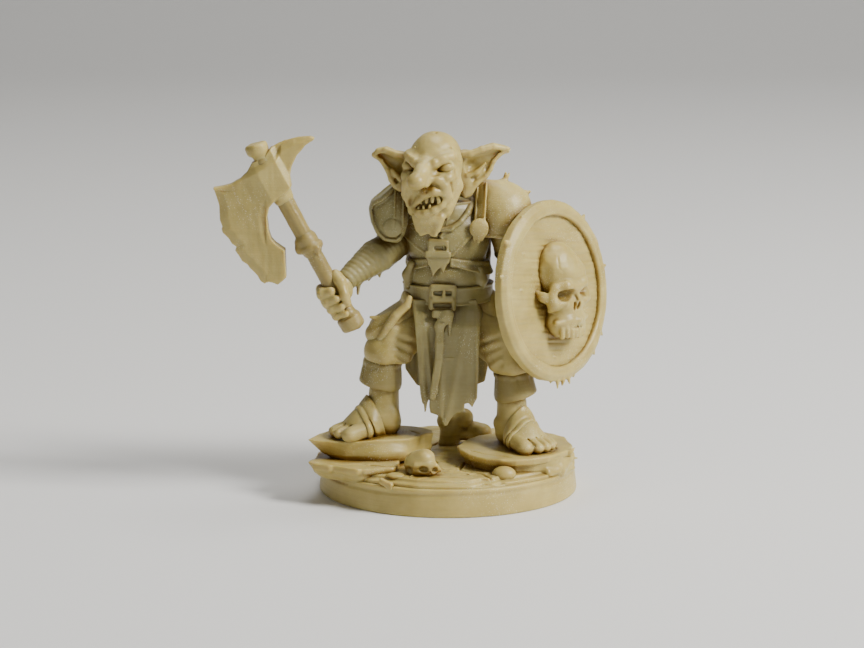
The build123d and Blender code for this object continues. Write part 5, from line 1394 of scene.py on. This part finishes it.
def sculpt_board():
    """The board: print layers on its face, plank joints on its back."""
    clay, a, o, r = shield_clay()
    z = clay.axis[2][None, None, :] + LAYER_SLOPE * clay.axis[1][None, :, None]
    lines = 0.03 * np.sin(z * 8.4) + 0.022 * np.sin(z * 3.1 + 0.6 * np.sin(z))
    lines = lines + 0.03 * np.sin(z * 13.7) * np.sin(a * 0.5 + z)
    clay.d = smooth_max(r - (SHIELD_R - 1.6), np.maximum(o + 0.12 + lines, -o - 0.9), 0.1).astype(np.float32)
    for across in (-5.6, -1.9, 1.9, 5.6):  # plank joints on the back
        clay.cut(rod(shield(across, -7.5, -0.95), shield(across, 7.5, -0.95), 0.14), 0.15)
    for across, up in ((-5.4, 5.3), (-1.2, -8.0), (-6.6, 1.0), (4.2, -5.6)):
        clay.add(ball(shield(across, up, -0.1), 0.22), 0.2)
    clay.roughen(0.035, 1.8, 103)
    cast(clay, "shield_board", "resin_weapon")


def sculpt_emblem():
    """The raised skull: cranium, brow, sockets, cheekbones, upper jaw with teeth. It turns a little
    from the board towards the front."""
    turn = math.radians(1)
    s_across = ACROSS * math.cos(turn) + OUT * math.sin(turn)
    s_out = OUT * math.cos(turn) - ACROSS * math.sin(turn)
    middle = shield(0.5, 0, 0)
    axes = np.stack([s_across, UP, s_out], 1)

    def at(across, up, out):
        return middle + s_across * across + UP * up + s_out * out

    def s_ball(across, up, out, radii, tilt=0.0):
        c = math.radians(tilt)
        spin = np.array([[math.cos(c), -math.sin(c), 0], [math.sin(c), math.cos(c), 0], [0, 0, 1]],
                        np.float32)
        return ball(at(across, up, out), radii, axes @ spin)

    clay = Clay(SHIELD_C + vec(-4.4, -6.4, -8.4), SHIELD_C + vec(7.2, 5.4, 8.0), FINE)
    clay.add(s_ball(0, 2.5, 0.2, (3.3, 3.45, 2.7)), 0.3)
    clay.add(s_ball(0.9, 1.7, 1.3, (2.5, 2.5, 1.9)), 0.7)
    clay.add(s_ball(0.1, 0.4, 1.3, (3.0, 1.2, 1.85)), 0.6)
    clay.add(s_ball(0, -1.5, 1.2, (3.1, 1.6, 1.85)), 0.6)
    clay.add(s_ball(0, -3.6, 0.6, (3.0, 2.2, 2.35)), 0.5)
    for side in (-1, 1):
        clay.line([at(0.4 * side, 0.3, 2.95), at(1.7 * side, 0.75, 2.75), at(3.0 * side, 0.65, 1.8)],
                  [0.45, 0.52, 0.5], 0.6)
        clay.line([at(3.0 * side, 0.6, 1.8), at(3.35 * side, -0.3, 1.6), at(3.1 * side, -1.35, 1.8),
                   at(2.0 * side, -1.35, 2.5)], [0.5, 0.5, 0.6, 0.45], 0.5)
        clay.line([at(3.2 * side, -1.1, 1.7), at(3.95 * side, -0.3, 0.8), at(3.9 * side, 0.1, -0.1)],
                  [0.6, 0.58, 0.5], 0.35)
        clay.add(rod(at(3.2 * side, -1.3, 1.6), at(3.2 * side, -2.0, 1.2), 0.55, 0.42), 0.4)
        socket = (1.22, 0.7, 1.6) if side < 0 else (0.85, 0.5, 1.3)
        clay.cut(s_ball(1.85 * side, -0.35, 3.0, socket, -6 * side), 0.2)
        clay.cut(s_ball(3.75 * side, 2.2, 1.6, (0.7, 1.5, 1.2)), 0.6)
        clay.cut(s_ball(3.55 * side, 0.3, 0.7, (0.4, 0.5, 0.8)), 0.3)
        clay.cut(s_ball(3.4 * side, -2.9, 1.6, (0.75, 0.55, 1.0)), 0.35)
        clay.cut(s_ball(0.38 * side, -1.95, 3.0, (0.27, 0.52, 0.8), -14 * side), 0.12)
    clay.add(rod(at(0, -0.1, 2.9), at(0, -1.15, 3.2), 0.36, 0.26), 0.3)
    clay.add(rod(at(-3.0, -3.6, 1.7), at(0, -3.7, 2.85), 0.3), 0.5)
    clay.add(rod(at(0, -3.7, 2.85), at(3.0, -3.6, 1.7), 0.3), 0.5)
    clay.keep(half_space(at(0, -5.45, 2.9), UP * -0.97 + s_across * 0.3), 0.15)  # broken off aslant
    for i in range(-4, 6):
        across = 0.54 * i
        out = 2.7 - 0.055 * i * i
        low = -5.45 - 0.05 * (5 - abs(i)) + 0.12 * (i % 2)
        clay.add(rod(at(across, -4.5, out), at(across, low, out - 0.1), 0.34, 0.26), 0.2)
    clay.cut(rod(at(-2.2, -4.55, 2.75), at(2.2, -4.5, 2.7), 0.06), 0.3)
    for points in ([at(0.6, 4.9, 2.0), at(1.1, 3.8, 2.7), at(0.6, 2.9, 3.1)],
                   [at(-1.8, 4.3, 2.0), at(-2.2, 3.1, 2.3), at(-1.8, 2.4, 2.6)]):
        clay.line(points, [0.04, 0.06, 0.03], 0.25, cut=True)
    clay.roughen(0.07, 0.9, 104).roughen(0.035, 0.35, 105)
    clay.keep(half_space(shield(0, 0, -0.4), -OUT), 0.05)
    cast(clay, "shield_skull_emblem", "resin_weapon")


def sculpt_grip():
    """The bar grip behind the shield, on two posts."""
    clay = Clay(SHIELD_C + vec(-6.5, -3.6, -2.6), SHIELD_C + vec(2.4, 6.0, 2.6), MEDIUM)
    for across in (-2.4, 2.4):
        clay.add(rod(shield(across, 0, -0.8), shield(across * 0.96, 0, -2.6), 0.55, 0.5), 0.2)
        clay.add(disc(shield(across, 0, -1.0), OUT, 0.95, 0.2), 0.1)
    clay.add(rod(shield(-2.4, 0, -2.8), shield(2.4, 0, -2.8), 0.55), 0.3)
    clay.roughen(0.04, 0.6, 106)
    cast(clay, "shield_grip", "resin_weapon")


def sculpt_left_hand():
    """The hand round the bar, hidden behind the shield."""
    clay = Clay(SHIELD_C + vec(-7.5, -3.2, -3.4), SHIELD_C + vec(1.6, 5.4, 3.2), MEDIUM)
    clay.add(ball(shield(0, 0.2, -3.2), (1.5, 1.3, 1.7), SHIELD_TURN), 0.3)
    clay.add(rod(LEFT_WRIST, shield(-0.2, 0, -3.2), 1.1, 1.2), 0.4)
    for i in range(4):
        a = -1.15 + 0.78 * i
        clay.line([shield(a, 1.0, -3.4), shield(a, 0.95, -2.2), shield(a, 0.0, -1.75), shield(a, -0.8, -2.2)],
                  [0.5, 0.48, 0.44, 0.38], 0.1)
    clay.roughen(0.03, 0.6, 107)
    cast(clay, "left_hand", "resin_skin")


# ------------------------------------------------------------------------------ sculpt everything
sculpt_base_disc()
sculpt_right_rock()
sculpt_ledge()
sculpt_rock_step()
sculpt_left_rock()
sculpt_floor()
sculpt_rubble()
sculpt_ground_skull()
sculpt_bones()
sculpt_foot(-1, "right_foot", (-6.9, -2.4), (-0.90, -0.44, 0), RIGHT_ROCK_TOP, RIGHT_LEG)
sculpt_foot(1, "left_foot", (7.2, -1.6), (0.58, -0.81, 0), LEFT_ROCK_TOP, LEFT_LEG)
sculpt_trouser(-1, RIGHT_LEG, vec(-7.9, -2.8, 17.2), 13.1, "right")
sculpt_trouser(1, LEFT_LEG, vec(7.8, -2.8, 16.1), 11.7, "left")
sculpt_hips()
sculpt_belt()
sculpt_belt_buckle()
sculpt_front_cloths()
sculpt_belt_tail()
sculpt_back_cloth()
sculpt_right_skirt()
sculpt_left_skirt()
sculpt_torso()
sculpt_harness()
sculpt_chest_buckle()
sculpt_neck()
sculpt_collar()
sculpt_head()
sculpt_teeth()
sculpt_eyes()
sculpt_ears()
sculpt_right_plate()
sculpt_right_lappet()
sculpt_left_plate()
sculpt_left_lappet()
sculpt_right_upper_arm()
sculpt_right_forearm()
sculpt_left_upper_arm()
sculpt_left_forearm()
sculpt_haft()
sculpt_axe_head()
sculpt_axe_fittings()
sculpt_right_hand()
sculpt_rim()
sculpt_board()
sculpt_emblem()
sculpt_grip()
sculpt_left_hand()


# ------------------------------------------------------------------------------ resin
PRINT_TILT = math.radians(-11.2)  # the print layers lean back a little
LAYERS_PER_METRE = (60, 60, 2600)
# the pale colour of the painted glints
PAINTED_GLINT_COLOUR = (0.78, 0.75, 0.58, 1)
RECESS_SHADE, THICK, THIN = (0.42, 0.28, 0.10), (0.79, 0.76, 0.65), (1.08, 1.09, 1.16)  # factors on the tint: painted shade in recesses, then thick and thin resin


def shade(tint, factors):
    """The tint with each channel multiplied by its factor."""
    return tuple(c * f for c, f in zip(tint, factors)) + (1,)


def resin(name, tint):
    """Cured cream resin: soft light inside, a satin skin, fine print layers, small pits, painted glints and
    shade painted into recesses.
    """
    mat = bpy.data.materials.new(name)
    mat.use_nodes = True
    nodes, links = mat.node_tree.nodes, mat.node_tree.links
    shader = nodes["Principled BSDF"]

    def node(kind, **values):
        n = nodes.new(kind)
        for key, value in values.items():
            if hasattr(n, key):
                setattr(n, key, value)
            else:
                n.inputs[key.replace("_", " ")].default_value = value
        return n

    def remap(source, low, high, to_low, to_high):
        n = node("ShaderNodeMapRange")
        n.inputs["From Min"].default_value, n.inputs["From Max"].default_value = low, high
        n.inputs["To Min"].default_value, n.inputs["To Max"].default_value = to_low, to_high
        links.new(source, n.inputs["Value"])
        return n.outputs["Result"]

    def times(a, b):
        n = node("ShaderNodeMath", operation="MULTIPLY")
        links.new(a, n.inputs[0])
        links.new(b, n.inputs[1])
        return n.outputs["Value"]

    def mixed(factor, a, b, blend="MIX"):
        n = node("ShaderNodeMix", data_type="RGBA", blend_type=blend)
        if factor is None:
            n.inputs["Factor"].default_value = 1.0
        else:
            links.new(factor, n.inputs["Factor"])
        links.new(a, n.inputs["A"])
        if isinstance(b, tuple):
            n.inputs["B"].default_value = b
        else:
            links.new(b, n.inputs["B"])
        return n.outputs["Result"]

    def texture(kind, at=None, **values):
        n = node(kind, **values)
        links.new(at or coords, n.inputs["Vector"])
        return n

    coords = node("ShaderNodeTexCoord").outputs["Object"]
    # uneven colour from thin and thick places, and shade painted into recesses where other resin hides a
    # vertex
    blotch = texture("ShaderNodeTexNoise", Scale=260.0, Detail=5.0, Roughness=0.6)
    tilted = texture("ShaderNodeMapping", Rotation=(PRINT_TILT, 0, 0), Scale=LAYERS_PER_METRE)
    layers = texture("ShaderNodeTexNoise", tilted.outputs["Vector"], Scale=1.0, Detail=4.0, Roughness=0.7)
    ramp = node("ShaderNodeValToRGB")
    ramp.color_ramp.elements[0].position, ramp.color_ramp.elements[1].position = 0.3, 0.72
    ramp.color_ramp.elements[0].color = shade(tint, THICK)
    ramp.color_ramp.elements[1].color = shade(tint, THIN)
    links.new(blotch.outputs["Fac"], ramp.inputs["Fac"])
    # painted shade: recesses darkened by how hidden each vertex is among the resin
    recess = node("ShaderNodeAttribute", attribute_name="recess")
    recess_shaded = mixed(recess.outputs["Fac"], ramp.outputs["Color"], shade(tint, RECESS_SHADE))
    banded = mixed(None, recess_shaded, remap(layers.outputs["Fac"], 0.3, 0.7, 0.94, 1.03), "MULTIPLY")
    # painted glints: pale specks of colour, thickest in a few patches
    cells = texture("ShaderNodeTexVoronoi", Scale=6500.0)
    patches = texture("ShaderNodeTexNoise", Scale=170.0, Detail=2.0)
    chosen = remap(cells.outputs["Color"], 0.55, 0.68, 0.0, 1.0)
    middle = remap(cells.outputs["Distance"], 0.22, 0.4, 1.0, 0.0)
    painted_glint = times(times(chosen, middle), remap(patches.outputs["Fac"], 0.49, 0.64, 0.0, 0.7))
    links.new(mixed(painted_glint, banded, PAINTED_GLINT_COLOUR), shader.inputs["Base Color"])

    surface = {"Subsurface Weight": 0.5, "Subsurface Radius": (1.0, 0.72, 0.30), "Subsurface Scale": 0.0011,
               "IOR": 1.5, "Specular IOR Level": 0.46}
    for key, value in surface.items():
        shader.inputs[key].default_value = value
    links.new(remap(blotch.outputs["Fac"], 0.3, 0.7, 0.30, 0.50), shader.inputs["Roughness"])

    fine = texture("ShaderNodeTexNoise", Scale=5200.0, Detail=3.0, Roughness=0.6)
    pits = texture("ShaderNodeTexVoronoi", Scale=1500.0)
    pit = remap(pits.outputs["Distance"], 0.0, 0.16, 0.0, 1.0)
    bumps = ((layers.outputs["Fac"], 0.00006, 0.6), (fine.outputs["Fac"], 0.00003, 0.6),
             (pit, 0.00002, 0.25), (painted_glint, 0.00004, 0.6))
    previous = None
    for height, distance, strength in bumps:
        bump = node("ShaderNodeBump", Distance=distance, Strength=strength)
        links.new(height, bump.inputs["Height"])
        if previous:
            links.new(previous, bump.inputs["Normal"])
        previous = bump.outputs["Normal"]
    links.new(previous, shader.inputs["Normal"])
    return mat


TINTS = {
    "resin_base": (0.57, 0.455, 0.15),
    "resin_rock": (0.555, 0.445, 0.145),
    "resin_bone": (0.565, 0.46, 0.16),
    "resin_skin": (0.55, 0.45, 0.16),
    "resin_weapon": (0.53, 0.43, 0.145),
    # the armour and cloth tints are darker partly as painted shade on parts that lie in shade, and partly for
    # the greener, more translucent resin there
    "resin_armour": (0.36, 0.32, 0.14),
    "resin_cloth": (0.34, 0.295, 0.12),
    # two copies of the same resin with shade painted into their colour: the thin haft, and the cuffs, which
    # lie in shade
    "resin_haft_painted_shade": (0.37, 0.29, 0.10),
    "resin_cuff_painted_shade": (0.35, 0.285, 0.10),
}
PAINTED_SHADE_MATERIALS = {
    "axe_haft": "resin_haft_painted_shade", "axe_collar": "resin_haft_painted_shade", "axe_pommel": "resin_haft_painted_shade",
    "right_trouser_cuff": "resin_cuff_painted_shade", "left_trouser_cuff": "resin_cuff_painted_shade",
}
# how far out along its normal a vertex looks for other resin, mm, and what each look counts for, in the shade
# painted into recesses
LOOKS = ((0.5, 0.2), (1.0, 0.3), (1.8, 0.3), (3.0, 0.2))


def whole_figure(step=0.4):
    """The distances of all the pieces together, on one coarse grid of step mm."""
    low, high = vec(*cad_low) / MM - 1.5, vec(*cad_high) / MM + 1.5
    whole = Clay(low, high, step)
    for _, clay in pieces.values():
        cells, at = whole.near(clay.low, [a[-1] for a in clay.axis])
        picks = []
        for i in range(3):
            nearest = np.rint((at[i].ravel() - clay.low[i]) / clay.step).astype(int)
            picks.append(np.clip(nearest, 0, clay.d.shape[i] - 1))
        whole.d[cells] = np.minimum(whole.d[cells], clay.d[np.ix_(*picks)])
    return whole


def paint_recess_shade():
    """Writes how hidden each vertex is, from the distances met on the way out along its normal; the resin
    darkens hidden places with it as painted shade.
    """
    whole = whole_figure()
    for obj, _ in pieces.values():
        count = len(obj.data.vertices)
        points, normals = np.zeros(count * 3, np.float32), np.zeros(count * 3, np.float32)
        obj.data.vertices.foreach_get("co", points)
        obj.data.vertices.foreach_get("normal", normals)
        points, normals = points.reshape(-1, 3) / MM, normals.reshape(-1, 3)
        hidden = np.zeros(count, np.float32)
        for reach, weight in LOOKS:
            at = np.rint((points + normals * reach - whole.low) / whole.step).astype(int)
            at = np.clip(at, 0, np.array(whole.d.shape) - 1)
            hidden += weight * np.clip(1 - whole.d[tuple(at.T)] / (reach * 0.75), 0, 1.5)
        value = np.clip((hidden - 0.12) * 1.1, 0, 1).astype(np.float32)
        layer = obj.data.attributes.new("recess", "FLOAT", "POINT")
        layer.data.foreach_set("value", value)


paint_recess_shade()
materials = {name: resin(name, tint) for name, tint in TINTS.items()}
for name, (obj, _) in pieces.items():
    obj.data.materials.append(materials[PAINTED_SHADE_MATERIALS.get(name, obj["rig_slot"])])


# ------------------------------------------------------------------------------ studio
FLOOR_COLOUR, FLOOR_ROUGHNESS = (0.8, 0.8, 0.79), 0.6
CURVE_START, CURVE_R, WALL_TOP = 0.45, 0.35, 1.6  # metres behind and above the part
# name, place, target, size, watts, colour
LIGHTS = [
    ("key", (0.40, -0.17, 0.36), (0, 0, 0.022), 0.16, 4.5, (1.0, 0.98, 0.94)),
    ("top", (0.06, 0.08, 0.5), (0, 0, 0.02), 0.24, 1.4, (1.0, 0.98, 0.95)),
    ("fill", (-0.42, -0.34, 0.2), (0, 0, 0.022), 0.4, 0.2, (0.97, 0.98, 1.0)),
]
WORLD_COLOUR, WORLD_STRENGTH = (0.95, 0.94, 0.92, 1), 0.13
CAMERA_PLACE, CAMERA_DOWN = (-0.001995, -0.36885, 0.09356), 11.2  # metres, and degrees below level
LENS, SENSOR = 127.0, 36.0


def paint(name, colour, roughness):
    """A plain matt material."""
    mat = bpy.data.materials.new(name)
    mat.use_nodes = True
    shader = mat.node_tree.nodes["Principled BSDF"]
    shader.inputs["Base Color"].default_value = (*colour, 1)
    shader.inputs["Roughness"].default_value = roughness
    return mat


def sweep():
    """A pale floor that curves up into a backdrop."""
    profile = [(-1.2, 0.0), (CURVE_START, 0.0)]
    for t in np.linspace(0.1, math.pi / 2, 12):
        profile.append((CURVE_START + CURVE_R * math.sin(t), CURVE_R - CURVE_R * math.cos(t)))
    profile.append((CURVE_START + CURVE_R, WALL_TOP))
    verts = [(x, y, z) for x in (-2.0, 2.0) for y, z in profile]
    n = len(profile)
    faces = [(i, i + 1, n + i + 1, n + i) for i in range(n - 1)]
    mesh = bpy.data.meshes.new("sweep")
    mesh.from_pydata(verts, [], faces)
    for p in mesh.polygons:
        p.use_smooth = True
    obj = bpy.data.objects.new("sweep", mesh)
    bpy.context.scene.collection.objects.link(obj)
    obj.data.materials.append(paint("sweep", FLOOR_COLOUR, FLOOR_ROUGHNESS))


def softbox(name, place, target, size, watts, colour):
    """A square area light that looks at a target."""
    light = bpy.data.lights.new(name, "AREA")
    light.shape, light.size, light.energy, light.color = "SQUARE", size, watts, colour
    obj = bpy.data.objects.new(name, light)
    bpy.context.scene.collection.objects.link(obj)
    obj.location = place
    obj.rotation_euler = (Vector(target) - Vector(place)).to_track_quat("-Z", "Y").to_euler()


sweep()
for row in LIGHTS:
    softbox(*row)
world = bpy.data.worlds.new("world")
world.use_nodes = True
world.node_tree.nodes["Background"].inputs["Color"].default_value = WORLD_COLOUR
world.node_tree.nodes["Background"].inputs["Strength"].default_value = WORLD_STRENGTH
bpy.context.scene.world = world

camera = bpy.data.cameras.new("camera")
camera.lens, camera.sensor_width = LENS, SENSOR
camera.clip_start, camera.clip_end = 0.02, 10.0
camera_object = bpy.data.objects.new("camera", camera)
bpy.context.scene.collection.objects.link(camera_object)
camera_object.location = CAMERA_PLACE
camera_object.rotation_euler = (math.radians(90 - CAMERA_DOWN), 0, 0)
bpy.context.scene.camera = camera_object
